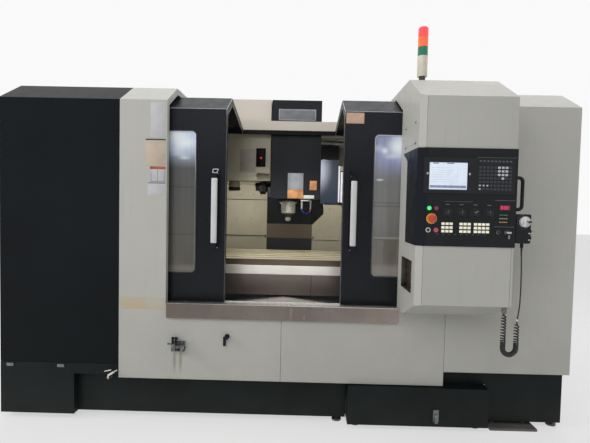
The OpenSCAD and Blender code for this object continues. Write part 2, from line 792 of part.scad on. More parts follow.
// Grab handle on the box's right side
module side_handle() {
    tube_r = 10;
    reach = 52;
    z = [1466, 1646];
    y = -box_out + 34;
    bend = 22;
    x_bar = x_box_end + reach;
    color([0.1, 0.1, 0.1]) placed() {
        rod_z(x_bar, y, inner(z, bend), tube_r, small_n);
        for (s = [[z[0], 1], [z[1], -1]]) {
            rod_x([x_box_end, x_bar - bend], y, s[0], tube_r, small_n);
            translate([x_bar - bend, y, s[0] + s[1] * bend]) rotate([90, s[1] > 0 ? 0 : -90, 0])
                rotate([0, 0, -90]) rotate_extrude(angle = 90, $fn = round_n)
                    translate([bend, 0]) circle(tube_r, $fn = small_n);
            rod_x([x_box_end, x_box_end + 6], y, s[0], tube_r + 3, small_n);
        }
    }
}

// Hand-held pendant in its holder on the box's right side
pendant_x = [x_box_end + 6, x_box_end + 88];
pendant_y = [control_y, control_y + 52];
pendant_z = [1275, 1440];
wheel_x = x_box_end + 50;
wheel_z = 1398;
wheel_r = wheel_d / 2;
module pendant() {
    grip_r = 8;
    knob_h = 12;
    small_knob = [[0.3, 1345], [0.3, 1308]];
    color([0.12, 0.12, 0.12]) placed() {
        along_y(pendant_y) translate([pendant_x[0], pendant_z[0]])
            round_rect(pendant_x[1] - pendant_x[0], pendant_z[1] - pendant_z[0], grip_r);
        block([x_box_end, pendant_x[0]], [-box_out + bevel_d, pendant_y[1] - grip_r], [1300, 1420]);
        for (k = small_knob) rod_x([pendant_x[1], pendant_x[1] + knob_h], pendant_y[0] + 24, k[1], 10, small_n);
        rod_x([pendant_x[1], pendant_x[1] + 5], pendant_y[0] + 24, wheel_z, 14, small_n);
    }
}
module pendant_wheel() {
    crank_at = 20.5;
    crank_r = 7;
    rim = 5;
    color("silver") placed() translate([wheel_x, pendant_y[0] - run_gap, wheel_z]) rotate([90, 0, 0]) {
        difference() {
            cylinder(h = wheel_t, r = wheel_r, $fn = round_n);
            translate([0, 0, wheel_t - 4]) cylinder(h = 5, r = wheel_r - rim, $fn = round_n);
        }
        translate([crank_at, 0, 0]) cylinder(h = wheel_t + crank_l, r = crank_r, $fn = small_n);
        cylinder(h = wheel_t, r = 12, $fn = small_n);
    }
}

// Route of the pendant's lead: straight stretch, then the curly one back to the box
lead_y = control_y + 26;
lead_x = x_box_end + 54;
gland_l = 26;
lead_top = pendant_z[0] - gland_l;
curl_in_z = 822;
curl_x = [x_box_end + 45, x_box_end - 30];
curl_low = 668;
curl_out_z = 872;
straight_route = [[lead_x, lead_y, lead_top], [lead_x, lead_y, 1200], [lead_x + 1, lead_y, 1100],
    [lead_x, lead_y, 1000], [lead_x - 2, lead_y, 920], [curl_x[0] + 2, lead_y, 860],
    [curl_x[0], lead_y, curl_in_z]];
bend_r = (curl_x[0] - curl_x[1]) / 2;
bend_parts = 8;
curl_route = concat(
    [[curl_x[0], lead_y, curl_in_z], [curl_x[0], lead_y, 745], [curl_x[0], lead_y, curl_low + 20]],
    [for (i = [0:bend_parts]) let (a = 180 * i / bend_parts)
        [curl_x[1] + bend_r + bend_r * cos(a), lead_y, curl_low - bend_r * sin(a)]],
    [[curl_x[1], lead_y, curl_low + 20], [curl_x[1], lead_y, 770], [curl_x[1], lead_y, curl_out_z]]);

// A tube of n sides along points that all lie in one plane across Y
module tube(route, r, n) {
    m = len(route);
    function way(i) = unit(route[min(i + 1, m - 1)] - route[max(i - 1, 0)]);
    rings = [for (i = [0:m - 1], k = [0:n - 1]) let (w = way(i), a = 360 * k / n, s = [-w.z, 0, w.x])
        route[i] + r * (cos(a) * s + sin(a) * [0, 1, 0])];
    walls = [for (i = [0:m - 2], k = [0:n - 1]) let (l = (k + 1) % n)
        [i * n + k, i * n + l, (i + 1) * n + l, (i + 1) * n + k]];
    ends = [[for (k = [0:n - 1]) n - 1 - k], [for (k = [0:n - 1]) (m - 1) * n + k]];
    polyhedron(rings, concat(walls, ends));
}
module pendant_cord() {
    color([0.06, 0.06, 0.06]) placed() tube(straight_route, lead_d / 2, 8);
}
module pendant_curl() {
    color([0.06, 0.06, 0.06]) placed() tube(curl_route, curl_d / 2, 12);
}
module cord_glands() {
    gland_r = 9;
    color([0.1, 0.1, 0.1]) placed() {
        rod_z(lead_x, lead_y, [lead_top, pendant_z[0]], gland_r, small_n);
        difference() {
            rod_z(curl_x[1], lead_y, [curl_out_z, box_bottom + 8], gland_r + 5, small_n);
            box_body(0);
        }
    }
}

// Signal tower: foot, body and three lenses in one stack
tower_at = [x_box + 104, 20];
tower_rise = [0, 50, 182, 238, 300];
module signal_tower() {
    r = tower_d / 2;
    foot_r = 20;
    dome = 10;
    color("orangered") placed() translate([tower_at.x, tower_at.y, roof_z]) {
        cylinder(h = 4, r = r, $fn = round_n);
        cylinder(h = tower_rise[1], r = foot_r, $fn = round_n);
        for (i = [1:3]) translate([0, 0, tower_rise[i]])
            cylinder(h = tower_rise[i + 1] - tower_rise[i], r = r - (i % 2) * 0.5, $fn = round_n);
        translate([0, 0, tower_rise[4]])
            cylinder(h = tower_h - tower_rise[4] - dome, r = r - 0.5, $fn = round_n);
        translate([0, 0, tower_h - dome]) cylinder(h = dome, r1 = r - 0.5, r2 = r - dome, $fn = round_n);
    }
}

// Electrical cabinet behind the right cover
cab_x = [x_right - 1183, x_right - 283];
cab_y = [enclosure_d, enclosure_d + 480];
cab_z = [250, 2130];
cab_leg = 60;
cab_door_t = 26;
cab_edge = 4;
module electrical_cabinet() {
    device = [130, 240, 360];
    device_x = cab_x[0] + 90;
    device_pitch = 190;
    color("gainsboro") placed() {
        difference() {
            block(cab_x, cab_y, cab_z);
            block(inner(cab_x, sheet), [cab_y[0] + sheet, cab_y[1] + 1], inner(cab_z, sheet));
        }
        block(inner(cab_x, 60), [cab_y[0] + sheet, cab_y[0] + 2 * sheet], inner(cab_z, 120));
        for (i = [0:3], z = [700, 1500]) difference() {
            block([device_x + i * device_pitch, device_x + i * device_pitch + device.x],
                [cab_y[0] + 2 * sheet, cab_y[0] + device.y], [z, z + device.z]);
            block([device_x + i * device_pitch + sheet, device_x + i * device_pitch + device.x - sheet],
                [cab_y[0] + 3 * sheet, cab_y[0] + device.y - sheet], [z - 1, z + device.z + 1]);
        }
        for (x = [cab_x[0], cab_x[1] - cab_leg], y = [cab_y[0], cab_y[1] - cab_leg])
            block([x, x + cab_leg], [y, y + cab_leg], [0, cab_z[0]]);
        for (z = [cab_z[0] + 200, cab_z[1] - 200])
            rod_z(cab_x[0] - cab_pin_out, cab_y[1] + cab_pin_out, [z - 40, z], cab_pin_r, small_n);
        for (z = [cab_z[0] + 200, cab_z[1] - 200])
            block([cab_x[0] - cab_pin_out, cab_x[0]], [cab_y[1] - 20, cab_y[1] + cab_pin_out], [z - 40, z]);
    }
}
cab_pin_out = 8;
cab_pin_r = 7;
module cabinet_door() {
    color("gainsboro") placed() {
        difference() {
            block([cab_x[0] + cab_edge, cab_x[1] - cab_edge], [cab_y[1] + run_gap, cab_y[1] + cab_door_t],
                inner(cab_z, cab_edge));
            block(inner(cab_x, 2 * cab_pin_r), [cab_y[1] - 1, cab_y[1] + cab_door_t - sheet],
                inner(cab_z, 3 * cab_edge));
        }
        for (z = [cab_z[0] + 200, cab_z[1] - 200]) {
            rod_z(cab_x[0] - cab_pin_out, cab_y[1] + cab_pin_out, [z + run_gap, z + 40], cab_pin_r, small_n);
            block([cab_x[0] - cab_pin_out, cab_x[0] + cab_edge + 1],
                [cab_y[1] + cab_pin_out, cab_y[1] + cab_pin_out + cab_pin_r], [z + run_gap, z + 40]);
        }
    }
}
switch_at = [cab_x[1] - 110, 1500];
module main_switch() {
    plate_r = 30;
    y = cab_y[1] + cab_door_t;
    color("red") placed() {
        rod_y(switch_at[0], [y + run_gap, y + 8], switch_at[1], plate_r);
        block([switch_at[0] - 8, switch_at[0] + 8], [y + 8, y + 32], [switch_at[1] - 27, switch_at[1] + 27]);
    }
}

// Two upright work lamps beside the column
module work_lamp() {
    lamps = [[508, 532, 1480, 1896], [534, 562, 1480, 1830]];
    color("white") placed() for (l = lamps)
        block([axis_x + l[0], axis_x + l[1]], [wall_y - 42, wall_y], [l[2], l[3]]);
}

// Ball screws and motors of the Y and Z axes
y_screw_r = 20;
module axis_drives() {
    motor = 110;
    block_l = 60;
    flange = 118;
    z_screw_y = column_front + rib;
    color("dimgray") placed() {
        rod_y(axis_x, [330, column_front - rib - 5], y_screw_z, y_screw_r, small_n);
        block([axis_x - flange / 2, axis_x + flange / 2], [330 - block_l, 330], [channel_z, channel_z + motor]);
        block([axis_x - motor / 2, axis_x + motor / 2], [bed_front + 5, 330 - block_l],
            [channel_z, channel_z + motor]);
        block([axis_x - flange / 2, axis_x + flange / 2], [column_front - rib - 35, column_front - rib],
            [channel_z, bed_top + y_rail_h]);
        rod_z(axis_x, z_screw_y, [column_rail_z + 20, column_top], y_screw_r, small_n);
        block([axis_x - motor / 2, axis_x + motor / 2], [column_front + 5, column_front + 2 * rib],
            [column_rail_z, column_rail_z + 20]);
        block([axis_x - flange / 2, axis_x + flange / 2], [column_front, column_front + 150],
            [column_top, column_top + 30]);
        block([axis_x - motor / 2, axis_x + motor / 2], [column_front + 10, column_front + 10 + motor],
            [column_top + 30, column_top + 150]);
    }
}

// Small fittings on the front: gun bracket, hose hook, drain valve and latches
module panel_fittings() {
    gun = [x_open + 38, 520];
    hook = [x_seam - 357, 571];
    valve_at = [x_pillar - 43, 300];
    clip_x = [tank_x[0] + 559, tank_x[0] + 595];
    latch_w = 46;
    color("silver") placed() {
        block([gun.x + 6, gun.x + 78], [-6, 0], [gun.y - 32, gun.y + 16]);
        block([gun.x, gun.x + 72], [-48, -6], [gun.y - 32, gun.y - 26]);
        for (x = [gun.x + 22, gun.x + 46]) {
            rod_y(x, [-30, 0], gun.y + 36, 9, small_n);
            rod_z(x, -39, [gun.y - 26, gun.y + 46], 9, small_n);
        }
        rod_x([gun.x - 22, gun.x + 8], -39, gun.y - 20, 7, small_n);
        rod_y(hook.x, [-34, 0], hook.y + 14, 13, small_n);
        block([hook.x - 22, hook.x], [-34, -22], [hook.y - 42, hook.y + 20]);
        rod_y(valve_at[0] - 40, [-20, guard_set], valve_at[1] - 10, 12, small_n);
        block([valve_at[0] - 48, valve_at[0] + 30], [-32, -20], [valve_at[1] - 16, valve_at[1] + 2]);
        block(clip_x, [tank_y[0] - 10, tank_y[0]], [66, 146]);
        block(inner(clip_x, 7), [tank_y[0] - 22, tank_y[0] - 10], [60, 120]);
        for (x = [x_left + 43, x_left + 383]) block([x, x + latch_w], [-6, 0], [left_seam - 32, left_seam - 12]);
    }
}

// Door with folded edges, sloping top and a roof that falls to the rear
door_bottom = sill_flat + rail_h + run_gap;
door_line = [[door_set, door_bottom], [door_set, door_face_h], [door_ridge_y, door_ridge_z],
    [door_tail_y, door_tail_z]];
tail_h = 30;
shoe_l = 60;
module window_hole(x, y, lap) {
    along_y(y) translate([x - lap, window_z - lap])
        round_rect(window_w + 2 * lap, window_h + 2 * lap, window_r + lap);
}
module door(x, window_x) {
    difference() {
        along_x(x) polygon(folded(door_line, -door_sheet));
        window_hole(window_x, [door_set - 1, door_set + 2 * door_sheet], 0);
    }
    for (e = [x[0], x[1] - door_sheet]) along_x([e, e + door_sheet]) polygon(folded(door_line, -door_fold));
    block(x, [door_set, door_set + door_fold], [door_bottom, door_bottom + door_sheet]);
    block(x, [door_tail_y - door_sheet, door_tail_y], [door_tail_z - tail_h, door_tail_z - 1]);
    for (s = [x[0] + shoe_l, x[1] - 2 * shoe_l])
        block([s, s + shoe_l], [door_tail_y - door_sheet, beam_y - run_gap],
            [door_tail_z - tail_h, door_tail_z - 5]);
}
module pane(window_x) window_hole(window_x, [door_set + door_sheet, door_set + door_sheet + pane_t], 15);
// White bar on two brackets
module door_handle(x) {
    bar_t = 22;
    stand = 63;
    bracket_h = 30;
    y = [door_set - stand, door_set - stand + bar_t];
    along_y(y) translate([x, handle_z]) round_rect(handle_w, handle_l, 8);
    for (z = [handle_z - bracket_h, handle_z + handle_l])
        block([x + 4, x + handle_w - 4], [y[0] + 4, door_set], [z, z + bracket_h]);
}
left_door_x = [left_door_edge - door_w, left_door_edge];
right_door_x = [right_door_edge, right_door_edge + door_w];
module left_door() {
    color([0.13, 0.15, 0.17]) placed() door(left_door_x, left_door_edge - window_edge - window_w);
}
module left_window() {
    color([0.6, 0.65, 0.65]) placed() pane(left_door_edge - window_edge - window_w);
}
module left_handle() {
    color("whitesmoke") placed() door_handle(left_door_edge - handle_edge - handle_w);
}
module right_door() {
    color([0.13, 0.15, 0.17]) placed() door(right_door_x, right_door_edge + window_edge);
}
module right_window() {
    color([0.6, 0.65, 0.65]) placed() pane(right_door_edge + window_edge);
}
module right_handle() {
    color("whitesmoke") placed() door_handle(right_door_edge + handle_edge);
}

// Saddle on the bed's rails, with the table's rails on top
saddle_top = table_top - table_t - 60;
saddle_z = bed_top + y_rail_h + 10;
saddle_y = [table_y - saddle_d / 2, table_y + saddle_d / 2];
saddle_x = [axis_x - saddle_l / 2, axis_x + saddle_l / 2];
x_rail_off = 230;
x_rail_h = 35;
x_screw_z = saddle_top - 40;
x_screw_r = 16;
x_channel_w = 130;
x_channel_z = saddle_top - 85;
carriage_l = 100;
carriage_w = 100;
fit_gap = 0.5;
function about(middle, half) = [middle - half, middle + half];
// A guide carriage round a rail that runs along Y, open below
module saddle_carriage(y) for (x = about(axis_x, y_rail_off)) difference() {
    block(about(x, carriage_w / 2), [y, y + carriage_l], [bed_top + 8, saddle_z]);
    block(about(x, rail_w / 2 + fit_gap), [y - 1, y + carriage_l + 1], [bed_top, bed_top + y_rail_h + fit_gap]);
}
module saddle() {
    body = 450;
    wing_t = 110;
    carriage_in = 40;
    nut_l = 80;
    color("darkslategray") placed() {
        difference() {
            along_y(saddle_y) polygon([[axis_x - body, saddle_z], [axis_x + body, saddle_z],
                [axis_x + body + 100, saddle_top - wing_t - 30], [saddle_x[1], saddle_top - wing_t],
                [saddle_x[1], saddle_top], [saddle_x[0], saddle_top], [saddle_x[0], saddle_top - wing_t],
                [axis_x - body - 100, saddle_top - wing_t - 30]]);
            block(inner(saddle_x, -1), about(table_y, x_channel_w / 2), [x_channel_z, saddle_top + 1]);
            for (x = about(axis_x, 140), y = about(table_y, 150))
                block(about(x, 110), about(y, 110), [saddle_z - 1, saddle_z + 129]);
        }
        for (y = about(table_y, x_rail_off))
            block(saddle_x, about(y, rail_w / 2), [saddle_top, saddle_top + x_rail_h]);
        for (y = [saddle_y[0] + carriage_in, saddle_y[1] - carriage_in - carriage_l]) saddle_carriage(y);
        difference() {
            block(about(axis_x, 50), about(table_y, nut_l / 2), [channel_z + 20, saddle_z]);
            rod_y(axis_x, [table_y - nut_l, table_y + nut_l], y_screw_z, y_screw_r + fit_gap, small_n);
        }
    }
}

// Stainless apron in front of the saddle, with the way cover's top section
top_ridge = tray_ridge + 2 * cover_step;
module saddle_apron() {
    seam_x = 187;
    shelf_z = 800;
    cover_x = [axis_x - cover_half, axis_x + cover_half];
    color("silver") placed() {
        for (x = [[saddle_x[0], seam_x - seam_gap], [seam_x, saddle_x[1]]])
            block(x, [apron_y, apron_y + sheet], [apron_z, table_top - table_t - apron_gap]);
        block([seam_x - 30, seam_x + 30], [apron_y + sheet, apron_y + 2 * sheet],
            [apron_z, table_top - table_t - apron_gap]);
        block([axis_x - 400, axis_x + 400], [apron_y + sheet, saddle_y[0]], [shelf_z, shelf_z + sheet]);
        gable_sheet(cover_x, [way_cover_y, saddle_y[0]], top_ridge);
    }
}
module middle_way_cover() {
    color("silver") placed() gable_sheet([axis_x - cover_half + 5, axis_x + cover_half - 5],
        [way_cover_y, way_cover_y + way_cover_l], tray_ridge + cover_step);
}

// Ball screw and motor that move the table
module x_drive() {
    motor = 110;
    motor_l = 130;
    end_l = 30;
    color("dimgray") placed() {
        rod_x([saddle_x[0] + end_l, saddle_x[1] - end_l], table_y, x_screw_z, x_screw_r, small_n);
        for (x = [saddle_x[0], saddle_x[1] - end_l])
            block([x, x + end_l], about(table_y, x_channel_w / 2), [x_channel_z, saddle_top]);
        block([saddle_x[0] - motor_l, saddle_x[0]], [table_y - motor / 2, table_y + motor / 2],
            [x_screw_z - motor / 2, x_screw_z + motor / 2 - 20]);
    }
}

// Table with T-slots, its carriages and the bright strip along its front
table_x = [axis_x - table_l / 2, axis_x + table_l / 2];
table_y_range = [table_y - table_d / 2, table_y + table_d / 2];
table_bottom = table_top - table_t;
neck_h = 22;
tee_w = 32;
tee_h = 14;
module table_carriage(x) for (y = about(table_y, x_rail_off)) difference() {
    block([x, x + carriage_l], about(y, carriage_w / 2), [saddle_top + 6, table_bottom]);
    block([x - 1, x + carriage_l + 1], about(y, rail_w / 2 + fit_gap),
        [saddle_top, saddle_top + x_rail_h + fit_gap]);
}
module table() {
    strip_h = 66;
    strip_t = 17;
    nut_l = 60;
    color("silver") placed() {
        difference() {
            block(table_x, table_y_range, [table_bottom, table_top]);
            for (i = [-2:2]) {
                y = table_y + i * slot_pitch;
                block(inner(table_x, -1), about(y, slot_w / 2), [table_top - neck_h - 1, table_top + 1]);
                block(inner(table_x, -1), about(y, tee_w / 2), [table_top - neck_h - tee_h, table_top - neck_h]);
            }
        }
        block(table_x, [table_y_range[0] - strip_t, table_y_range[0]], [table_bottom, table_bottom + strip_h]);
        for (s = sides) table_carriage(axis_x + s * 250 - carriage_l / 2);
        difference() {
            block(about(axis_x, nut_l / 2), about(table_y, 40), [x_channel_z + 10, table_bottom]);
            rod_x([axis_x - nut_l, axis_x + nut_l], table_y, x_screw_z, x_screw_r + fit_gap, small_n);
        }
    }
}

// Head casting with the spindle cartridge, motor and Z carriages
head_half = 140;
bore_r = 45;
shaft_gap = 0.05;
bore_top = 1500;
module spindle_head() {
    motor_r = 105;
    motor_z = [1990, 2300];
    carriages_z = [head_carriage_z, head_carriage_z + 200];
    nut_z = [1600, 1680];
    color("darkslategray") placed() {
        difference() {
            along_x(about(axis_x, head_half)) polygon([[spindle_y - 160, head_z], [head_back, head_z],
                [head_back, 1880], [spindle_y + 200, 1990], [spindle_y - 160, 1990]]);
            block([axis_x - head_half + 50, axis_x + head_half - 50], [spindle_y + 250, head_back - 60],
                [head_z - 1, head_z + 250]);
        }
        difference() {
            rod_z(axis_x, spindle_y, [nose_z, head_z], nose_d / 2);
            rod_z(axis_x, spindle_y, [nose_z - 1, bore_top], bore_r);
        }
        rod_z(axis_x, spindle_y, motor_z, motor_r);
        for (z = carriages_z, x = about(axis_x, column_rail_off)) difference() {
            block(about(x, carriage_w / 2), [head_back - 40, column_front - 6], [z, z + carriage_l]);
            block(about(x, rail_w / 2 + fit_gap), [column_front - column_rail_d - fit_gap, column_front + 1],
                [z - 1, z + carriage_l + 1]);
        }
        difference() {
            block([axis_x - 45, axis_x + 45], [head_back, column_front + rib + 35], nut_z);
            rod_z(axis_x, column_front + rib, inner(nut_z, -1), y_screw_r + fit_gap, small_n);
        }
        block(about(axis_x, column_rail_off + carriage_w / 2), [head_back - 40, head_back],
            [carriages_z[0], carriages_z[1] + carriage_l]);
    }
}

// Sheet cover over the head and the upper plate of the column's way cover
module head_cover() {
    x = [head_cover_x, head_cover_x + head_cover_w];
    y = [head_cover_y, head_cover_y + head_cover_d];
    color([0.11, 0.13, 0.15]) placed() {
        difference() {
            block(x, y, [head_cover_z, head_cover_top]);
            block(inner(x, sheet), [y[0] + sheet, y[1] + 1], [head_cover_z + sheet, head_cover_top - sheet]);
            rod_z(axis_x, spindle_y, [head_cover_z - 1, head_cover_z + sheet + 1], nose_d / 2 + 1);
        }
        block(plate_x, [plate_y, plate_y + sheet], [head_z - plate_h, head_z]);
        for (bracket_x = [[x[0] + sheet, axis_x - head_half], [axis_x + head_half, x[1] - sheet]])
            block(bracket_x, [spindle_y - 40, spindle_y], [1600, 1640]);
    }
}
module middle_head_cover() {
    color([0.11, 0.13, 0.15]) placed()
        block(inner(plate_x, 2), [middle_plate_y, middle_plate_y + sheet], [980, 980 + plate_h - 10]);
}

// Turning spindle with the tool in it
module spindle() {
    holder_r = 31.5;
    holder_z = 1345;
    tool_r = 23;
    color("silver") placed() {
        rod_z(axis_x, spindle_y, [nose_z - 8, bore_top - 1], bore_r - shaft_gap);
        rod_z(axis_x, spindle_y, [holder_z, nose_z - 8], holder_r);
        rod_z(axis_x, spindle_y, [tool_z + 14, holder_z], tool_r);
        rod_z(axis_x, spindle_y, [tool_z, tool_z + 14], tool_r - 6);
    }
}

// Coolant pipes beside the spindle, with the loop of hose
module coolant_nozzles() {
    pipe_x = 104;
    pipe_y = spindle_y - 40;
    pipe_z = 1420;
    pipe_r = 9;
    loop_r = 40;
    hose_r = 6;
    color("silver") placed() {
        rod_z(pipe_x, pipe_y, [pipe_z, head_cover_z], pipe_r, small_n);
        rod_z(pipe_x + 2 * loop_r, pipe_y, [pipe_z, head_cover_z], pipe_r, small_n);
        translate([pipe_x + loop_r, pipe_y, pipe_z]) rotate([90, 180, 0])
            rotate_extrude(angle = 180, $fn = round_n) translate([loop_r, 0]) circle(hose_r, $fn = small_n);
        block([pipe_x - 14, pipe_x + 2 * loop_r + 14], about(pipe_y, 14), [head_cover_z - 18, head_cover_z]);
    }
}

// Disc of the magazine with its pots and tools
module tool_magazine() {
    pots = 20;
    ring_r = 280;
    pot_r = 33;
    tool_r = 20;
    color("gray") placed() translate([disc_x, mag_axis_y, mag_axis_z]) rotate([0, 90, 0]) {
        cylinder(h = 65, r = 60, $fn = round_n);
        translate([0, 0, 60]) cylinder(h = 20, r = ring_r + 10, $fn = round_n);
        for (i = [0:pots - 1]) rotate([0, 0, 360 * i / pots]) translate([ring_r, 0, 70]) {
            cylinder(h = 105, r = pot_r, $fn = small_n);
            translate([0, 0, 100]) cylinder(h = 75, r = tool_r, $fn = small_n);
        }
    }
}

// Double-ended changer arm, parked along Y
arm_shaft_r = 30;
module tool_arm() {
    arm_l = 215;
    grip_r = 46;
    grip_hole = 32;
    grip_slot = 27;
    hub_r = 74;
    hub_top = 1652;
    arm_w = 70;
    arm_h = 42;
    color([0.1, 0.1, 0.1]) placed() {
        translate([arm_x, shaft_y, arm_z]) linear_extrude(arm_h) difference() {
            union() {
                translate([-arm_w / 2, -arm_l]) square([arm_w, 2 * arm_l]);
                for (s = sides) translate([0, s * arm_l]) circle(grip_r, $fn = round_n);
            }
            for (s = sides) {
                translate([0, s * arm_l]) circle(grip_hole, $fn = round_n);
                translate([s > 0 ? -2 * grip_r : 0, s * arm_l - grip_slot]) square([2 * grip_r, 2 * grip_slot]);
            }
        }
        rod_z(arm_x, shaft_y, [arm_z + arm_h, hub_top], hub_r);
        translate([arm_x, shaft_y, arm_z - 25]) cylinder(h = 25, r1 = 24, r2 = arm_w / 2 - 2, $fn = round_n);
        rod_z(arm_x, shaft_y, [hub_top, mag_z[0] + 90], arm_shaft_r);
    }
}

// Emergency stop, push buttons and knobs of the control panel
module emergency_stop() {
    travel = 7;
    head_r = 20;
    head_h = 15;
    head_at = travel + 1.5 + collar_h;
    color("red") placed() on_panel(stop_at[0], stop_at[1]) {
        translate([0, 0, travel + 1.5]) cylinder(h = collar_h, r = stop_neck_r, $fn = round_n);
        translate([0, 0, head_at]) cylinder(h = head_h, r = head_r, $fn = round_n);
        translate([0, 0, head_at + head_h]) cylinder(h = 4, r1 = head_r, r2 = head_r - 6, $fn = round_n);
    }
}
module push_button(i) {
    travel = 3;
    placed() on_panel(buttons_at[i][0], buttons_at[i][1]) translate([0, 0, travel + 0.5])
        cylinder(h = collar_h - 1, r = button_r[i], $fn = round_n);
}
module power_on_button() { color("limegreen") push_button(0); }
module power_off_button() { color("darkred") push_button(1); }
module cycle_start_button() { color("whitesmoke") push_button(2); }
module feed_hold_button() { color("lightcoral") push_button(3); }
module knob(i) {
    h = 18;
    dial_t = 1.2;
    placed() on_panel(knob_at[i][0], knob_at[i][1]) translate([0, 0, dial_t + run_gap]) {
        cylinder(h = h * 0.4, r = knob_r, $fn = round_n);
        intersection() {
            cylinder(h = h, r = knob_r - 1, $fn = round_n);
            translate([-5, -knob_r, 0]) cube([10, 2 * knob_r, h]);
        }
    }
}
module mode_knob() { color("black") knob(0); }
module feed_knob() { color("black") knob(1); }
module rapid_knob() { color("black") knob(2); }
module spindle_knob() { color("black") knob(3); }

base_casting();
levelling_feet();
column();
lower_guard();
left_cover();
left_pillar();
front_panel_left();
front_panel_right();
right_cover();
operator_box();
front_sill();
chip_tray();
inner_walls();
roof_panels();
magazine_cover();
door_rails();
coolant_tank();
control_panel();
display_unit();
lit_keys();
side_handle();
pendant();
cord_glands();
pendant_cord();
pendant_curl();
signal_tower();
electrical_cabinet();
work_lamp();
axis_drives();
panel_fittings();
left_door();
left_window();
left_handle();
right_door();
right_window();
right_handle();
saddle();
saddle_apron();
x_drive();
table();
middle_way_cover();
spindle_head();
head_cover();
middle_head_cover();
spindle();
coolant_nozzles();
tool_magazine();
tool_arm();
emergency_stop();
power_on_button();
power_off_button();
cycle_start_button();
feed_hold_button();
mode_knob();
feed_knob();
rapid_knob();
spindle_knob();
pendant_wheel();
cabinet_door();
main_switch();
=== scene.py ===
# %% [markdown]
# # A vertical machining center
# The machine is a steel box with two sliding doors. Behind them a table moves under a spindle head, and the
# operator works at a projecting box on the right. The solid model is already packed with its joints. This
# lesson loads it as a fixed frame, then adds the finishes and the small pieces that a solid model leaves
# plain.

# %% Load the frame
import bpy
import bmesh
import math
from mathutils import Matrix, Vector


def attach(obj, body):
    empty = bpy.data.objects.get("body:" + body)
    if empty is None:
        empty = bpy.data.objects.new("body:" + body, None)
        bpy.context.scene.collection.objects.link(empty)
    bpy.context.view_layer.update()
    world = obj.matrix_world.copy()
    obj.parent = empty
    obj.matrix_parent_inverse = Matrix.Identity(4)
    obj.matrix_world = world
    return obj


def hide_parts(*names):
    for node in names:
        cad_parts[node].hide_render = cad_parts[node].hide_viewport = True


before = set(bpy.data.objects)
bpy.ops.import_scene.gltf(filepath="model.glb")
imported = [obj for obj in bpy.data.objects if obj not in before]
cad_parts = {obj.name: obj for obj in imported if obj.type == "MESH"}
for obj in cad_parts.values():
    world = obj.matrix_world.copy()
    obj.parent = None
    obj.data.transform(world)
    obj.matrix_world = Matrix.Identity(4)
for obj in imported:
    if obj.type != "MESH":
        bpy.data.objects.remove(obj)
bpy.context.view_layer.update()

# %% [markdown]
# Every drawing size of this machine is a number of millimetres: X from the middle of the enclosure, Y from
# its front sheets into the machine, Z from the floor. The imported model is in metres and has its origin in
# the middle of the depth. One helper does that change, so that the drawing's numbers can be used as they
# are.

# %% Drawing millimetres to the frame's metres
MM = 0.001
MIDDLE_Y = 1084.85


def at(x, y, z):
    """A place in drawing millimetres, as a point of the frame in metres."""
    return Vector((x, y - MIDDLE_Y, z)) * MM


print("front sheets at y =", round(at(0, 0, 0).y, 4))

# %% [markdown]
# ## Camera
# The photograph was taken from 2.9 m in front of the doors at eye height, with a wide lens. The camera gets
# the same place and the same slight turn.

# %% Camera
CAMERA_PLACE = at(95, -2863.5, 1475.3)
YAW, PITCH, ROLL = (math.radians(a) for a in (-0.7, -2.4, 1.25))
LENS_MM = 26.81
forward = Vector((math.sin(YAW) * math.cos(PITCH), math.cos(YAW) * math.cos(PITCH), math.sin(PITCH)))
level = Vector((math.cos(YAW), -math.sin(YAW), 0))
upright = level.cross(forward)
side = math.cos(ROLL) * level + math.sin(ROLL) * upright
top = -math.sin(ROLL) * level + math.cos(ROLL) * upright
lens = bpy.data.cameras.new("photo_camera")
lens.lens = LENS_MM
lens.sensor_width = 36
lens.clip_end = 60
camera = bpy.data.objects.new("photo_camera", lens)
bpy.context.scene.collection.objects.link(camera)
camera.matrix_world = Matrix.Translation(CAMERA_PLACE) @ Matrix((side, top, -forward)).transposed().to_4x4()
bpy.context.scene.camera = camera
print("camera at", [round(v, 3) for v in CAMERA_PLACE])

# %% [markdown]
# ## The pendant's lead
# The handwheel pendant has a curly lead. It leaves the pendant straight down, goes over into a coil, and
# the coil hangs in a U back up to a gland under the operator box. It is one wire all the way, so it is one
# curve: a straight route, then a helix wound round the coil's middle line. The turns are pulled open where
# the coil carries its own weight and lie close in the bend.

# %% Middle line of the lead
LEAD_Y = -354
LEAD_D = 7.5
COIL_D = 31
COIL_TOP, COIL_END = 822, 872
STRAIGHT = [(1357, 1249), (1359, 1190), (1362, 1100), (1363, 1000), (1361, 920), (1354, 860),
            (1348, COIL_TOP)]
BEND_R = 37.5
BEND_MIDDLE = (1310.5, 668)


def coil_middle(s):
    """Point at distance s along the coil's middle line, and the line's direction there, in X and Z."""
    down = COIL_TOP - BEND_MIDDLE[1]
    arc = math.pi * BEND_R
    if s < down:
        return (BEND_MIDDLE[0] + BEND_R, COIL_TOP - s), (0, -1)
    if s < down + arc:
        a = (s - down) / BEND_R
        return ((BEND_MIDDLE[0] + BEND_R * math.cos(a), BEND_MIDDLE[1] - BEND_R * math.sin(a)),
                (-math.sin(a), -math.cos(a)))
    return (BEND_MIDDLE[0] - BEND_R, BEND_MIDDLE[1] + s - down - arc), (0, 1)


COIL_LENGTH = COIL_TOP + COIL_END - 2 * BEND_MIDDLE[1] + math.pi * BEND_R
print("coil middle line", round(COIL_LENGTH), "mm")

# %% Wind the coil
POINTS_PER_TURN = 14
OPEN_PITCH, CLOSE_PITCH = 17.0, 7.9
OPEN_AT_START, OPEN_AT_END, BLEND = 140, 185, 60
EASE = 26
STEPS_EACH = 6


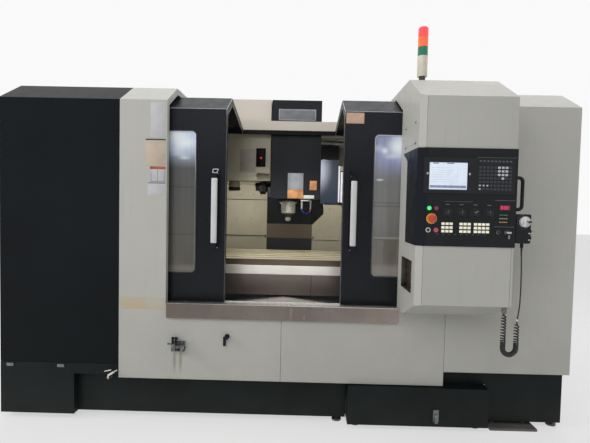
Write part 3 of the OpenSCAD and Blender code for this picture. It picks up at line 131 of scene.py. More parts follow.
def pitch_at(s):
    """Millimetres from turn to turn: wide where the coil hangs from its two ends, close in the bend."""
    near_start = min(max((OPEN_AT_START - s) / BLEND, 0), 1)
    near_end = min(max((s - COIL_LENGTH + OPEN_AT_END) / BLEND, 0), 1)
    return CLOSE_PITCH + (OPEN_PITCH - CLOSE_PITCH) * max(near_start, near_end)


lead_points = []
for (x0, z0), (x1, z1) in zip(STRAIGHT, STRAIGHT[1:]):
    for share in (i / STEPS_EACH for i in range(STEPS_EACH)):
        lead_points.append(at(x0 + (x1 - x0) * share, LEAD_Y, z0 + (z1 - z0) * share))
distance, turned_by = 0.0, 0.0
full_r = (COIL_D - LEAD_D) / 2
while distance < COIL_LENGTH:
    (x, z), (dx, dz) = coil_middle(distance)
    grow = min(distance / EASE, 1, (COIL_LENGTH - distance) / EASE)
    radius = full_r * grow * grow * (3 - 2 * grow)
    across = radius * math.cos(turned_by)
    lead_points.append(at(x + across * dz, LEAD_Y + radius * math.sin(turned_by), z - across * dx))
    distance += pitch_at(distance) / POINTS_PER_TURN
    turned_by += 2 * math.pi / POINTS_PER_TURN
lead_points.append(at(BEND_MIDDLE[0] - BEND_R, LEAD_Y, COIL_END))

# %% Lay the wire along the points
curve = bpy.data.curves.new("pendant_lead", "CURVE")
curve.dimensions = "3D"
curve.bevel_depth = 1.0  # times the radius that each point carries
curve.bevel_resolution = 3
curve.use_fill_caps = True
spline = curve.splines.new("POLY")
spline.points.add(len(lead_points) - 1)
for point, place in zip(spline.points, lead_points):
    point.co = (*place, 1)
    point.radius = LEAD_D / 2 * MM
pendant_lead = bpy.data.objects.new("pendant_lead", curve)
bpy.context.scene.collection.objects.link(pendant_lead)
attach(pendant_lead, "machine")
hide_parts("pendant_cord", "pendant_curl")
print("wire", LEAD_D, "mm thick")

# %% [markdown]
# ## Finishes
# Paint on a machine is never one flat colour. It has a fine orange-peel grain, soft cloudy patches where it
# was wiped, runs under edges and dust near the floor. One function builds that as a node material from a few
# numbers, in Object coordinates, so a pattern has the same scale on every sheet. Further marks, such as a
# rust stain, are laid over it with a mask, and so are painted light and painted shade on some surfaces.

# %% Nodes, noise and ramps
SHADER = {}


def link(m, a, b):
    m.node_tree.links.new(a, b)


def node(m, kind, **values):
    """A new node; a value that isn't one of its inputs is one of its settings."""
    n = m.node_tree.nodes.new(kind)
    for key, value in values.items():
        if key in n.inputs:
            n.inputs[key].default_value = value
        else:
            setattr(n, key, value)
    return n


def maths(m, operation, a, b):
    """One operation on two values, each a number or an output."""
    n = node(m, "ShaderNodeMath", operation=operation)
    for socket, value in zip(n.inputs, (a, b)):
        if hasattr(value, "links"):
            link(m, value, socket)
        else:
            socket.default_value = value
    return n.outputs[0]


def times(m, a, b):
    return maths(m, "MULTIPLY", a, b)


def noise(m, scale, stretch=(1, 1, 1), detail=3.0, roughness=0.55):
    """A noise over the surface; a larger stretch packs it closer along that axis."""
    mapping = node(m, "ShaderNodeMapping", Scale=stretch)
    link(m, SHADER[m.name]["coords"], mapping.inputs["Vector"])
    n = node(m, "ShaderNodeTexNoise", Scale=scale, Detail=detail, Roughness=roughness)
    link(m, mapping.outputs[0], n.inputs["Vector"])
    return n.outputs["Fac"]


def ramp(m, value, low, high, out_low=0.0, out_high=1.0):
    """A smooth step of a value from low to high."""
    n = node(m, "ShaderNodeMapRange", interpolation_type="SMOOTHSTEP")
    for name, number in (("From Min", low), ("From Max", high), ("To Min", out_low), ("To Max", out_high)):
        n.inputs[name].default_value = number
    link(m, value, n.inputs["Value"])
    return n.outputs[0]


def axis_of(m, letter):
    n = node(m, "ShaderNodeSeparateXYZ")
    link(m, SHADER[m.name]["coords"], n.inputs[0])
    return n.outputs[letter]


print("noise and ramp helpers ready")


# %% Masks, and colours laid over them
def lay_over(m, mask, colour):
    """Mixes a colour over what the surface shows so far, where the mask is 1."""
    mix = node(m, "ShaderNodeMix", data_type="RGBA")
    link(m, mask, mix.inputs["Factor"])
    link(m, SHADER[m.name]["colour"], mix.inputs["A"])
    mix.inputs["B"].default_value = (*colour, 1)
    SHADER[m.name]["colour"] = mix.outputs["Result"]
    link(m, mix.outputs["Result"], SHADER[m.name]["bsdf"].inputs["Base Color"])


def inside_box(m, low, high):
    """A mask that is 1 between two corners in drawing millimetres."""
    mask = None
    for letter, a, b in zip("XYZ", at(*low), at(*high)):
        value = axis_of(m, letter)
        for test in (maths(m, "GREATER_THAN", value, a), maths(m, "LESS_THAN", value, b)):
            mask = test if mask is None else times(m, mask, test)
    return mask


def spot(m, place, radius, squeeze=(1, 1, 1)):
    """A soft round mask about a place in drawing millimetres; squeeze makes it an oval."""
    away = node(m, "ShaderNodeVectorMath", operation="SUBTRACT")
    link(m, SHADER[m.name]["coords"], away.inputs[0])
    away.inputs[1].default_value = at(*place)
    scaled = node(m, "ShaderNodeVectorMath", operation="MULTIPLY")
    link(m, away.outputs["Vector"], scaled.inputs[0])
    scaled.inputs[1].default_value = squeeze
    length = node(m, "ShaderNodeVectorMath", operation="LENGTH")
    link(m, scaled.outputs["Vector"], length.inputs[0])
    return ramp(m, length.outputs["Value"], radius * MM, 0.0)


def patch(m, low, high, colour):
    """Lays a flat colour over all that is between two corners."""
    lay_over(m, inside_box(m, low, high), colour)


def fade(m, letter, span, colour):
    """Lays a colour over along one axis; the span is from and to in metres, then the mask at both ends."""
    lay_over(m, ramp(m, axis_of(m, letter), *span), colour)


def mottle(m, span, colour, scale, **kind):
    """Lays a colour over where a noise is high."""
    lay_over(m, ramp(m, noise(m, scale, **kind), *span), colour)


print("masks in drawing millimetres are ready")


# %% One function for every finish
def finish(name, colour, rough, metal=0.0, grain=(900, 0.00012), clouds=(1.6, 0.12), runs=0.0, brushed=None,
           coat=0.0, rough_play=0.08, shine=0.5):
    """A painted, moulded or metal surface. Grain is the bump's scale and depth, clouds are a scale and a
    strength, and brushed gives the stretch of the brush lines."""
    m = bpy.data.materials.new(name)
    m.use_nodes = True
    bsdf = m.node_tree.nodes["Principled BSDF"]
    coords = node(m, "ShaderNodeTexCoord").outputs["Object"]
    SHADER[m.name] = {"bsdf": bsdf, "coords": coords}
    bsdf.inputs["Metallic"].default_value = metal
    bsdf.inputs["Coat Weight"].default_value = coat
    bsdf.inputs["Specular IOR Level"].default_value = shine
    base = node(m, "ShaderNodeMix", data_type="RGBA")
    base.inputs["A"].default_value = (*colour, 1)
    base.inputs["B"].default_value = (*(c * (1 - 2 * clouds[1]) for c in colour), 1)
    cloud = noise(m, clouds[0], detail=5.0)
    link(m, ramp(m, cloud, 0.35, 0.75), base.inputs["Factor"])
    SHADER[m.name]["colour"] = base.outputs["Result"]
    link(m, base.outputs["Result"], bsdf.inputs["Base Color"])
    if runs:
        streak = noise(m, 9.0, stretch=(6, 6, 0.35), detail=4.0)
        lay_over(m, ramp(m, streak, 0.55, 0.85, 0.0, runs), tuple(c * 0.45 for c in colour))
    scratch = noise(m, 14.0, detail=6.0)
    rough_value = ramp(m, scratch, 0.3, 0.8, rough - rough_play, rough + rough_play)
    link(m, rough_value, bsdf.inputs["Roughness"])
    height = noise(m, grain[0], detail=2.0)
    if brushed:
        height = noise(m, 1.0, stretch=brushed, detail=4.0)
    bump = node(m, "ShaderNodeBump", Distance=grain[1], Strength=1.0)
    link(m, height, bump.inputs["Height"])
    link(m, bump.outputs[0], bsdf.inputs["Normal"])
    return m


def dusty(m, height, amount, colour=(0.2, 0.19, 0.17)):
    """Floor dust and splashes: strongest at the bottom edge, broken up by a noise."""
    low = ramp(m, axis_of(m, "Z"), 0.0, height, amount, 0.0)
    lay_over(m, times(m, low, noise(m, 7.0, detail=6.0)), colour)


print("finish helper ready")

# %% Paint of the outer sheets
cream = finish("cream_paint", (0.452, 0.448, 0.415), 0.45, grain=(700, 0.0002), clouds=(1.1, 0.04), runs=0.12,
               shine=0.3)
dusty(cream, 0.9, 0.5, (0.26, 0.25, 0.21))
stain = times(cream, inside_box(cream, (-1088, -4, 752), (-786, 4, 834)),
              ramp(cream, noise(cream, 6.0, stretch=(1, 1, 3), detail=4.0), 0.3, 0.7, 0.25, 0.9))
lay_over(cream, stain, (0.46, 0.37, 0.22))
for x in (-720, -680):
    drip = times(cream, inside_box(cream, (x - 18, -4, 290), (x + 18, 4, 486)),
                 spot(cream, (x, 0, 415), 115, (6.5, 1, 1)))
    lay_over(cream, times(cream, drip, 0.75), (0.2, 0.21, 0.13))
lay_over(cream, times(cream, inside_box(cream, (1480, -4, 386), (1884, 4, 760)),
                      ramp(cream, noise(cream, 4.0, detail=4.0), 0.5, 0.8, 0.0, 0.4)), (0.4, 0.34, 0.24))
black_cover = finish("black_cover_paint", (0.0085, 0.0105, 0.0125), 0.44, grain=(900, 0.00005),
                     clouds=(0.9, 0.18), rough_play=0.02, shine=0.07)
# Painted light and shade: the cover's sloped top above z 2.12 is painted lighter as a highlight, and the
# cover is painted darker towards the bottom as shade.
fade(black_cover, "Z", (2.12, 2.13), (0.025, 0.0255, 0.027))
fade(black_cover, "Z", (1.3, 0.3, 0.0, 0.7), (0.003, 0.0045, 0.0055))
guard_black = finish("guard_paint", (0.006, 0.0095, 0.0095), 0.48, grain=(600, 0.0002), clouds=(3.0, 0.25),
                     shine=0.12)
dusty(guard_black, 0.3, 0.35, (0.05, 0.048, 0.043))
door_paint = finish("door_paint", (0.0075, 0.0095, 0.0125), 0.34, grain=(700, 0.0001), clouds=(1.4, 0.1),
                    shine=0.14)
# Painted light: the doors are painted lighter towards their tops.
fade(door_paint, "Z", (1.6, 2.05, 0.0, 0.8), (0.0185, 0.0195, 0.025))
print("outer paints:", len(SHADER))

# %% Paint of the head, the castings and the changer
head_paint = finish("head_cover_paint", (0.014, 0.016, 0.02), 0.38, clouds=(2.0, 0.12), shine=0.2)
cast_paint = finish("casting_paint", (0.05, 0.065, 0.07), 0.5, grain=(220, 0.0006), clouds=(3.0, 0.2),
                    runs=0.2)
changer_paint = finish("changer_paint", (0.02, 0.02, 0.022), 0.4, clouds=(6.0, 0.2), grain=(400, 0.0003),
                       shine=0.3)
feet_paint = finish("feet_paint", (0.05, 0.05, 0.052), 0.55, clouds=(9.0, 0.3), grain=(300, 0.0004))
dusty(feet_paint, 0.1, 0.7)
# Painted shade: the column's front, seen through the gap behind the head, is painted near-black.
patch(cast_paint, (-430, 1960, 900), (400, 1973, 1700), (0.008, 0.008, 0.009))
# Painted shade: the door rails are painted near-black where they lie in shade. Below z 0.9 the lower rail on
# the sill is painted light steel, a painted highlight along the sill. The same finish gives the dark seam
# ends.
rail_shade_and_seam_black = finish("rail_shade_and_seam_black", (0.006, 0.006, 0.006), 0.5, clouds=(9.0, 0.3), shine=0.15)
fade(rail_shade_and_seam_black, "Z", (0.95, 0.9), (0.62, 0.6, 0.58))
print("paints:", len(SHADER))

# %% Inner walls, with the brown apron and the black pot
inner_paint = finish("inner_cream_paint", (0.45, 0.42, 0.33), 0.4, clouds=(1.8, 0.1), runs=0.3, shine=0.3)
# Above z 2.05 the sheets are painted a pale cream: the beam's own outer cream, made lighter as painted light
# from above.
fade(inner_paint, "Z", (2.05, 2.1), (0.68, 0.62, 0.54))
BLUE_PLATE = ((215, 1880, 1474), (489, 1906, 1947))
for low, high, colour in (((-286, 1907, 590), (351, 1913, 1250), (0.15, 0.12, 0.09)),
                          ((-286, 1907, 590), (351, 1913, 1095), (0.04, 0.04, 0.045)),
                          (*BLUE_PLATE, (0.035, 0.05, 0.08)),
                          ((213, 1870, 2087), (489, 1906, 2300), (0.1, 0.1, 0.095)),
                          ((489, 1870, 1880), (570, 1906, 2300), (0.05, 0.053, 0.048)),
                          ((213, 1820, 1949), (489, 1906, 2087), (0.006, 0.006, 0.007))):
    patch(inner_paint, low, high, colour)
# Painted highlight: a soft lit patch on the blue plate, where the light of the lamp above it falls.
panel_painted_highlight = times(inner_paint, inside_box(inner_paint, *BLUE_PLATE),
                   spot(inner_paint, (270, 1892, 1850), 330, (1.9, 1, 1)))
lay_over(inner_paint, panel_painted_highlight, (0.56, 0.6, 0.85))
patch(inner_paint, (-600, 1100, 1570), (-440, 1260, 1610), (0.008, 0.008, 0.008))
patch(inner_paint, (-1630, 1890, 1511), (-266, 1904.5, 1600), (0.72, 0.71, 0.64))
for x0, x1, z in ((-1630, -266, 1108), (-1630, -266, 1498), (262, 1630, 1121), (222, 1630, 1468)):
    patch(inner_paint, (x0, 1890, z), (x1, 1904.5, z + 17), (0.008, 0.007, 0.006))
print("inner paint ready")

# %% [markdown]
# Steel that coolant runs over is brushed, stained brown in patches and duller there. The brush lines run
# one way, so the noise that gives the bump is stretched along them: short across the lines and very long
# along them.

# %% Stained steel of the sill and the apron
sill_steel = finish("stained_stainless", (0.17, 0.145, 0.13), 0.34, metal=0.7, grain=(1, 0.00008),
                    brushed=(3, 200, 200), clouds=(2.2, 0.16), runs=0.3, rough_play=0.1)
mottle(sill_steel, (0.52, 0.72, 0.0, 0.55), (0.26, 0.19, 0.15), 4.0, detail=6.0)
# Painted highlights: the sill's top lip and the flat top behind the doors are painted light.
patch(sill_steel, (-780, -30, 800.5), (760, 10, 804), (0.66, 0.64, 0.61))
patch(sill_steel, (-1100, -1, 788), (1100, 160, 797), (0.72, 0.7, 0.68))
for x, wide in ((49, 9), (92, 6), (131, 7)):  # rust runs
    red_mark = times(sill_steel, inside_box(sill_steel, (x - wide, -30, 716), (x + wide, 0, 796)),
                     ramp(sill_steel, noise(sill_steel, 34.0, stretch=(1, 1, 0.3)), 0.42, 0.62, 0.0, 0.35))
    lay_over(sill_steel, red_mark, (0.42, 0.22, 0.21))
# Painted shade towards the sill's left end and painted light towards its right end.
fade(sill_steel, "X", (0.3, -0.7, 0.0, 0.62), (0.09, 0.072, 0.06))
fade(sill_steel, "X", (0.1, 0.8, 0.0, 0.3), (0.3, 0.25, 0.21))
apron_steel = finish("apron_steel", (0.2, 0.165, 0.145), 0.34, metal=0.6, grain=(1, 0.00008),
                     brushed=(260, 260, 3), clouds=(5.0, 0.06), rough_play=0.03)
fade(apron_steel, "Z", (0.9, 0.78, 0.0, 0.5), (0.1, 0.085, 0.08))
mottle(apron_steel, (0.45, 0.75, 0.0, 0.6), (0.11, 0.09, 0.078), 5.0, stretch=(1, 1, 0.25), detail=5.0)
# Painted light: a soft lighter oval in the middle of the apron.
lay_over(apron_steel, times(apron_steel, spot(apron_steel, (40, 496, 850), 380, (0.8, 1, 2.6)), 0.4),
         (0.27, 0.23, 0.21))
patch(apron_steel, (-600, 90, 660), (560, 600, 765), (0.45, 0.43, 0.41))
patch(apron_steel, (185.4, 490, 766), (189, 500, 923), (0.015, 0.013, 0.012))
print("sill and apron ready")

# %% Way covers and the table
way_steel = finish("way_cover_steel", (0.5, 0.485, 0.475), 0.4, metal=0.35, grain=(1, 0.000012),
                   brushed=(3, 120, 120), clouds=(2.0, 0.05), rough_play=0.03)
table_steel = finish("table_steel", (0.42, 0.385, 0.28), 0.4, metal=0.55, grain=(1, 0.00005),
                     brushed=(4, 380, 380), clouds=(3.0, 0.12), rough_play=0.1)
SLOT_PITCH = 125
mottle(table_steel, (0.56, 0.8, 0.0, 0.35), (0.26, 0.22, 0.15), 11.0, detail=7.0)
# Painted shade on the table's dark front face and in the T-slots, and a near-white painted highlight on the
# bright strip below the front face.
patch(table_steel, (-780, 490, 991), (740, 511, 1038), (0.13, 0.1, 0.075))
patch(table_steel, (-780, 490, 924), (740, 509, 992), (1.0, 0.97, 0.9))
for i in range(-2, 3):
    patch(table_steel, (-780, 850 + i * SLOT_PITCH, 1000), (740, 870 + i * SLOT_PITCH, 1038.5),
          (0.03, 0.025, 0.02))
print("table ready")

# %% Small bright parts
spindle_steel = finish("spindle_steel", (0.95, 0.94, 0.9), 0.3, metal=0.15, grain=(1, 0.00003),
                       brushed=(30, 30, 500), clouds=(20.0, 0.08), rough_play=0.05)
bright_steel = finish("bright_steel", (0.78, 0.77, 0.74), 0.26, metal=0.75, grain=(1, 0.00004),
                      brushed=(30, 30, 700), clouds=(20.0, 0.08), rough_play=0.06)
dark_steel = finish("dark_steel", (0.12, 0.12, 0.12), 0.42, metal=0.8, grain=(500, 0.0001),
                    clouds=(12.0, 0.2))
print("metals ready")

# %% Plastics and rubber
white_plastic = finish("white_plastic", (0.6, 0.6, 0.61), 0.4, grain=(900, 0.0001), clouds=(9.0, 0.04),
                       runs=0.08)
panel_black = finish("panel_black", (0.012, 0.0135, 0.016), 0.42, grain=(1500, 0.00015), clouds=(4.0, 0.1),
                     shine=0.15)
fade(panel_black, "X", (0.815, 0.79), (0.005, 0.007, 0.0105))
# Painted shade: the cord gland under the operator box is painted the grey of the shade there.
patch(panel_black, (1240, -420, 850), (1306, -300, 915), (0.16, 0.155, 0.14))
display_black = finish("display_black", (0.014, 0.015, 0.018), 0.35, grain=(1800, 0.0001), clouds=(8.0, 0.1),
                       shine=0.2)
patch(display_black, (1084, -389, 1560), (1275, -387.5, 1740), (0.045, 0.048, 0.055))
key_black = finish("key_black", (0.03, 0.03, 0.034), 0.5, grain=(1500, 0.0001), clouds=(30.0, 0.1),
                   shine=0.25)
rubber = finish("lead_rubber", (0.012, 0.012, 0.012), 0.5, grain=(1200, 0.0001), clouds=(40.0, 0.2))
legend = finish("legend_grey", (0.5, 0.5, 0.5), 0.5, clouds=(60.0, 0.05))
legend_dim = finish("legend_dim", (0.2, 0.2, 0.21), 0.5, clouds=(60.0, 0.05))
print("plastics ready")

# %% Gloss paint, hoses and plates
red_gloss = finish("red_gloss", (0.5, 0.02, 0.012), 0.22, clouds=(30.0, 0.06), coat=0.4)
yellow_gloss = finish("yellow_gloss", (0.66, 0.27, 0.03), 0.35, clouds=(30.0, 0.08))
blue_hose = finish("blue_hose", (0.03, 0.05, 0.55), 0.35, clouds=(30.0, 0.1), coat=0.2)
orange_hose = finish("orange_hose", (0.8, 0.25, 0.03), 0.4, clouds=(30.0, 0.1))
plate_silver = finish("plain_plate_silver", (0.36, 0.38, 0.42), 0.4, metal=0.5, clouds=(12.0, 0.15))
plate_orange = finish("plain_plate_orange", (0.5, 0.25, 0.11), 0.5, clouds=(18.0, 0.2))
plate_red = finish("plain_plate_red", (0.4, 0.1, 0.055), 0.5, clouds=(18.0, 0.2))
plate_white = finish("plain_plate_white", (0.5, 0.5, 0.52), 0.5, clouds=(14.0, 0.06), shine=0.3)
tower_cream = finish("tower_cream", (0.62, 0.58, 0.48), 0.4, clouds=(12.0, 0.1))
print("gloss and plates ready")


# %% Lit lenses and lamps
def glowing(name, colour, strength, rough=0.25):
    """A glossy lens that gives light of its own colour."""
    m = finish(name, colour, rough, grain=(600, 0.0001), clouds=(25.0, 0.1), coat=0.3)
    m.node_tree.nodes["Principled BSDF"].inputs["Emission Color"].default_value = (*colour, 1)
    m.node_tree.nodes["Principled BSDF"].inputs["Emission Strength"].default_value = strength
    return m


lens_red = glowing("lens_red", (0.9, 0.05, 0.06), 0.75)
lens_amber = glowing("lens_amber", (0.85, 0.14, 0.04), 0.3)
lens_green = glowing("lens_green", (0.0, 0.16, 0.09), 0.08)
button_green = glowing("button_green", (0.05, 0.7, 0.2), 0.7)
button_dark_red = glowing("button_dark_red", (0.22, 0.015, 0.02), 0.05)
button_pink = glowing("button_pink", (0.42, 0.04, 0.06), 0.2)
led_red = glowing("led_red", (0.7, 0.03, 0.14), 0.7)
led_field = glowing("led_field", (0.1, 0.0, 0.02), 0.5)
led_green = glowing("led_green", (0.06, 0.26, 0.13), 0.2)
led_lime = glowing("led_lime", (0.34, 0.36, 0.2), 0.25)
led_orange = glowing("led_orange", (0.55, 0.24, 0.11), 0.25)
key_lit = glowing("key_lit", (0.8, 0.77, 0.62), 0.3)
screen_lit = glowing("screen_lit", (0.41, 0.45, 0.52), 0.95)
lamp_lit = glowing("lamp_lit", (0.58, 0.57, 0.66), 0.55)
print("finishes so far:", len(SHADER))

# %% [markdown]
# The door panes are safety plastic, fogged inside by coolant. Near the top they carry a pale painted
# reflection of the light from above. The middle is dark and the part near the sill is beige. The seams of the
# inner walls show through as faint lines. Clear glass would show a clean inside, so the fog is part of the
# pane's own finish. A ramp along Z gives the painted reflection, fine upright streaks break the tone up, and
# soft round spots are painted glare.

# %% A fogged pane
def fog_and_reflection_pane(name, middle, low, reflection_z, reflection_colour, seams, glare):
    """A fogged pane: its tone in the middle and low down, the ends of its painted reflection near the top,
    and its painted glare spots.
    """
    m = finish(name, middle, 0.2, clouds=(1.6, 0.12), grain=(500, 0.00005), shine=0.4)
    upright = axis_of(m, "Z")
    lay_over(m, ramp(m, upright, 1.5, 1.2, 0.0, 0.9), low)
    lay_over(m, ramp(m, upright, 1.06, 1.02, 0.0, 0.6), (0.24, 0.22, 0.175))
    patches = ramp(m, noise(m, 3.4, stretch=(1, 1, 0.45), detail=4.0), 0.35, 0.7)
    lay_over(m, times(m, patches, 0.35), tuple(c * 1.7 for c in middle))
    # Painted reflection of the light from above: pale near the top and broken up by a noise.
    reflection_breakup = ramp(m, noise(m, 3.4, stretch=(1, 1, 0.7), detail=5.0), 0.3, 0.62, 0.45, 0.95)
    lay_over(m, times(m, ramp(m, upright, *reflection_z), reflection_breakup), reflection_colour)
    fine = noise(m, 1.0, stretch=(55, 55, 0.9), detail=7.0, roughness=0.75)
    lay_over(m, ramp(m, fine, 0.4, 0.72, 0.0, 0.25), tuple(c * 0.5 for c in middle))
    lay_over(m, ramp(m, fine, 0.58, 0.8, 0.0, 0.22), tuple(c * 2.2 for c in middle))
    # Painted glare: soft round spots of reflected lamp light.
    for place, radius, squeeze, amount in glare:
        lay_over(m, times(m, spot(m, place, radius, squeeze), amount), (0.9, 0.96, 1.0))
    for z in seams:
        line = times(m, ramp(m, upright, z - 0.008, z), ramp(m, upright, z + 0.008, z))
        lay_over(m, times(m, line, 0.5), tuple(c * 0.4 for c in middle))
    return m


print("pane helper ready")

# %% The two panes; each glare is a painted reflection spot, given as a place, a radius, a squeeze and a strength
LEFT_GLARE = (((-760, 80, 1905), 170, (1.0, 1, 1.9), 1.0), ((-690, 80, 1862), 110, (1.0, 1, 2.1), 1.0),
              ((-735, 80, 1820), 70, (0.7, 1, 1.7), 0.5), ((-690, 80, 1763), 45, (0.8, 1, 2.2), 0.55),
              ((-720, 80, 1785), 60, (0.6, 1, 2.6), 0.35))
RIGHT_GLARE = (((745, 80, 1862), 105, (1.0, 1, 1.2), 1.0), ((800, 80, 1880), 170, (1.0, 1, 1.0), 0.8),
               ((646, 80, 1834), 34, (1.0, 1, 1.0), 0.8), ((600, 80, 1850), 90, (1.2, 1, 2.2), 0.35),
               ((690, 80, 1800), 60, (0.7, 1, 2.0), 0.4), ((618, 80, 1642), 26, (0.7, 1, 2.4), 0.7))
left_pane = fog_and_reflection_pane("left_pane_fog_and_reflection", (0.086, 0.085, 0.08), (0.088, 0.077, 0.058), (1.68, 1.86),
                        (0.66, 0.78, 1.0), (1.568, 1.25), LEFT_GLARE)
# The right pane's lighter middle tone is painted light.
right_pane = fog_and_reflection_pane("right_pane_fog_and_reflection", (0.19, 0.19, 0.19), (0.15, 0.135, 0.11), (1.62, 1.82),
                         (0.38, 0.44, 0.72), (1.49, 1.467, 1.243), RIGHT_GLARE)
pane_height = axis_of(right_pane, "Z")
lay_over(right_pane, times(right_pane, ramp(right_pane, pane_height, 1.246, 1.25),
                           ramp(right_pane, pane_height, 1.264, 1.258, 0.0, 0.6)), (0.3, 0.3, 0.26))
lay_over(right_pane, times(right_pane, inside_box(right_pane, (655, 70, 1062), (742, 90, 1240)),
                           ramp(right_pane, pane_height, 1.04, 1.2, 0.15, 0.55)), (0.1, 0.088, 0.068))
lay_over(right_pane, ramp(right_pane, pane_height, 1.09, 1.05, 0.0, 0.75), (0.26, 0.235, 0.215))
print("panes ready")

# %% [markdown]
# ## Dressing the solids
# The nodes that already have the right shape keep it and only change their material. A table of node and
# finish is all that this takes.

# %% Give every node its finish
NODE_FINISH = {cream: ["left_pillar", "front_panel_left", "front_panel_right", "right_cover", "operator_box",
                       "electrical_cabinet", "cabinet_door"], black_cover: ["left_cover"],
               guard_black: ["lower_guard", "coolant_tank"], door_paint: ["left_door", "right_door"],
               head_paint: ["head_cover", "middle_head_cover"],
               cast_paint: ["base_casting", "column", "saddle", "spindle_head"],
               feet_paint: ["levelling_feet"], inner_paint: ["inner_walls", "magazine_cover", "roof_panels"],
               sill_steel: ["front_sill"], apron_steel: ["saddle_apron"],
               way_steel: ["chip_tray", "middle_way_cover"], table_steel: ["table"],
               dark_steel: ["axis_drives", "x_drive"], rail_shade_and_seam_black: ["door_rails"],
               bright_steel: ["spindle", "coolant_nozzles", "panel_fittings", "pendant_wheel"],
               changer_paint: ["tool_magazine", "tool_arm"], left_pane: ["left_window"],
               right_pane: ["right_window"],
               panel_black: ["control_panel", "pendant", "side_handle", "cord_glands"],
               display_black: ["display_unit"], key_lit: ["lit_keys"],
               key_black: ["mode_knob", "feed_knob", "rapid_knob", "spindle_knob"],
               red_gloss: ["emergency_stop", "main_switch"], button_green: ["power_on_button"],
               button_dark_red: ["power_off_button"],
               white_plastic: ["cycle_start_button", "left_handle", "right_handle"],
               button_pink: ["feed_hold_button"], rubber: ["pendant_cord", "pendant_curl"],
               lens_red: ["signal_tower"], lamp_lit: ["work_lamp"]}
for material, names in NODE_FINISH.items():
    for name in names:
        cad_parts[name].data.materials.clear()
        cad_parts[name].data.materials.append(material)
pendant_lead.data.materials.append(rubber)
print("dressed nodes:", sum(len(names) for names in NODE_FINISH.values()))

# %% [markdown]
# ## Tools for new pieces
# Three shapes make almost every small piece: a block with softened edges, a turned part spun from its
# outline, and a straight rod. Each is drawn into a bmesh, and one function turns the bmesh into an object
# that rides on a body. Two more do the same in one step for a piece of one kind of shape.

# %% Shape helpers
def soft_block(bm, low, high, soft=0.6):
    """A block between two corners in drawing millimetres, with its edges bevelled."""
    a, b = at(*low), at(*high)
    size = b - a
    place = Matrix.Translation((a + b) / 2) @ Matrix.Diagonal((*size, 1))
    made = bmesh.ops.create_cube(bm, size=1.0, matrix=place)
    if soft:
        edges = list({e for v in made["verts"] for e in v.link_edges})
        bmesh.ops.bevel(bm, geom=edges, offset=min(soft * MM, min(size) * 0.3), segments=2, profile=0.5,
                        affect="EDGES", material=-1)


WELD = 1e-6  # metres
TURN = {"-Y": Matrix.Rotation(math.radians(90), 4, "X"), "+Y": Matrix.Rotation(math.radians(-90), 4, "X"),
        "+Z": Matrix.Identity(4), "-Z": Matrix.Rotation(math.radians(180), 4, "X"),
        "+X": Matrix.Rotation(math.radians(90), 4, "Y"), "-X": Matrix.Rotation(math.radians(-90), 4, "Y")}


def turned(bm, outline, place, direction, steps=40):
    """Spins an outline of (radius, height) pairs in millimetres round an axis that points in a direction."""
    verts = [bm.verts.new((r * MM, 0, h * MM)) for r, h in outline]
    edges = [bm.edges.new(pair) for pair in zip(verts, verts[1:])]
    before = set(bm.verts) - set(verts)
    bmesh.ops.spin(bm, geom=verts + edges, axis=(0, 0, 1), cent=(0, 0, 0), angle=2 * math.pi, steps=steps,
                   use_merge=True)
    new = [v for v in bm.verts if v not in before]
    bmesh.ops.remove_doubles(bm, verts=new, dist=WELD)
    new = [v for v in bm.verts if v not in before]
    bmesh.ops.transform(bm, matrix=Matrix.Translation(at(*place)) @ TURN[direction], verts=new)


def rod(bm, start, end, r, segments=16):
    """A straight round bar between two places."""
    a, b = at(*start), at(*end)
    turn = (b - a).to_track_quat("Z", "Y").to_matrix().to_4x4()
    bmesh.ops.create_cone(bm, cap_ends=True, segments=segments, radius1=r * MM, radius2=r * MM,
                          depth=(b - a).length, matrix=Matrix.Translation((a + b) / 2) @ turn)


print("turned parts can point along", ", ".join(TURN))


# %% From a shape to a finished piece
def piece(name, bm, body, slot, material, sharp=40):
    """Turns a bmesh into an object on a body; edges sharper than the angle stay crisp."""
    bmesh.ops.recalc_face_normals(bm, faces=bm.faces)
    mesh = bpy.data.meshes.new(name)
    for face in bm.faces:
        face.smooth = True
    bm.to_mesh(mesh)
    bm.free()
    mesh.set_sharp_from_angle(angle=math.radians(sharp))
    mesh.materials.append(material)
    made = bpy.data.objects.new(name, mesh)
    bpy.context.scene.collection.objects.link(made)
    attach(made, body)
    return made


def blocks(name, body, slot, material, soft, *corners):
    """A piece made of soft blocks, each given by its low and high corner."""
    bm = bmesh.new()
    for low, high in corners:
        soft_block(bm, low, high, soft)
    return piece(name, bm, body, slot, material)


def rounds(name, body, slot, material, outline, places, direction, steps=40):
    """A piece made of the same turned part in one or more places."""
    bm = bmesh.new()
    for place in places:
        turned(bm, outline, place, direction, steps)
    return piece(name, bm, body, slot, material)


def polar(middle, r, a):
    """The point at distance r and angle a from a middle, in drawing millimetres."""
    return middle[0] + r * math.cos(a), middle[1] + r * math.sin(a)


print("nodes that new pieces can replace:", len(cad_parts))

# %% [markdown]
# ## Control panel
# The panel is a black sheet on the front of the operator box. Its display glows, and round it stand a key
# field, push buttons with rims, an emergency stop on a yellow disc and four knobs over dials with ticks.
# Plain discs would look flat from the front, so each button is an outline spun round its axis: its rounded
# rim catches the light. Knobs and buttons are placed by their distance from the panel's lower left corner.

# %% Places on the panel, and the body and slot that many pieces share
PANEL_X, PANEL_Y, PANEL_Z = 755, -380, 1250
KNOB_X, KNOB_Z = [166 + 77.7 * i for i in range(4)], 191
SCREEN_Y, KEYS_Y = -383.2, -388
BLACK, WHITE, BRIGHT = (("machine", slot) for slot in ("black_plastic", "white_plastic", "bright"))


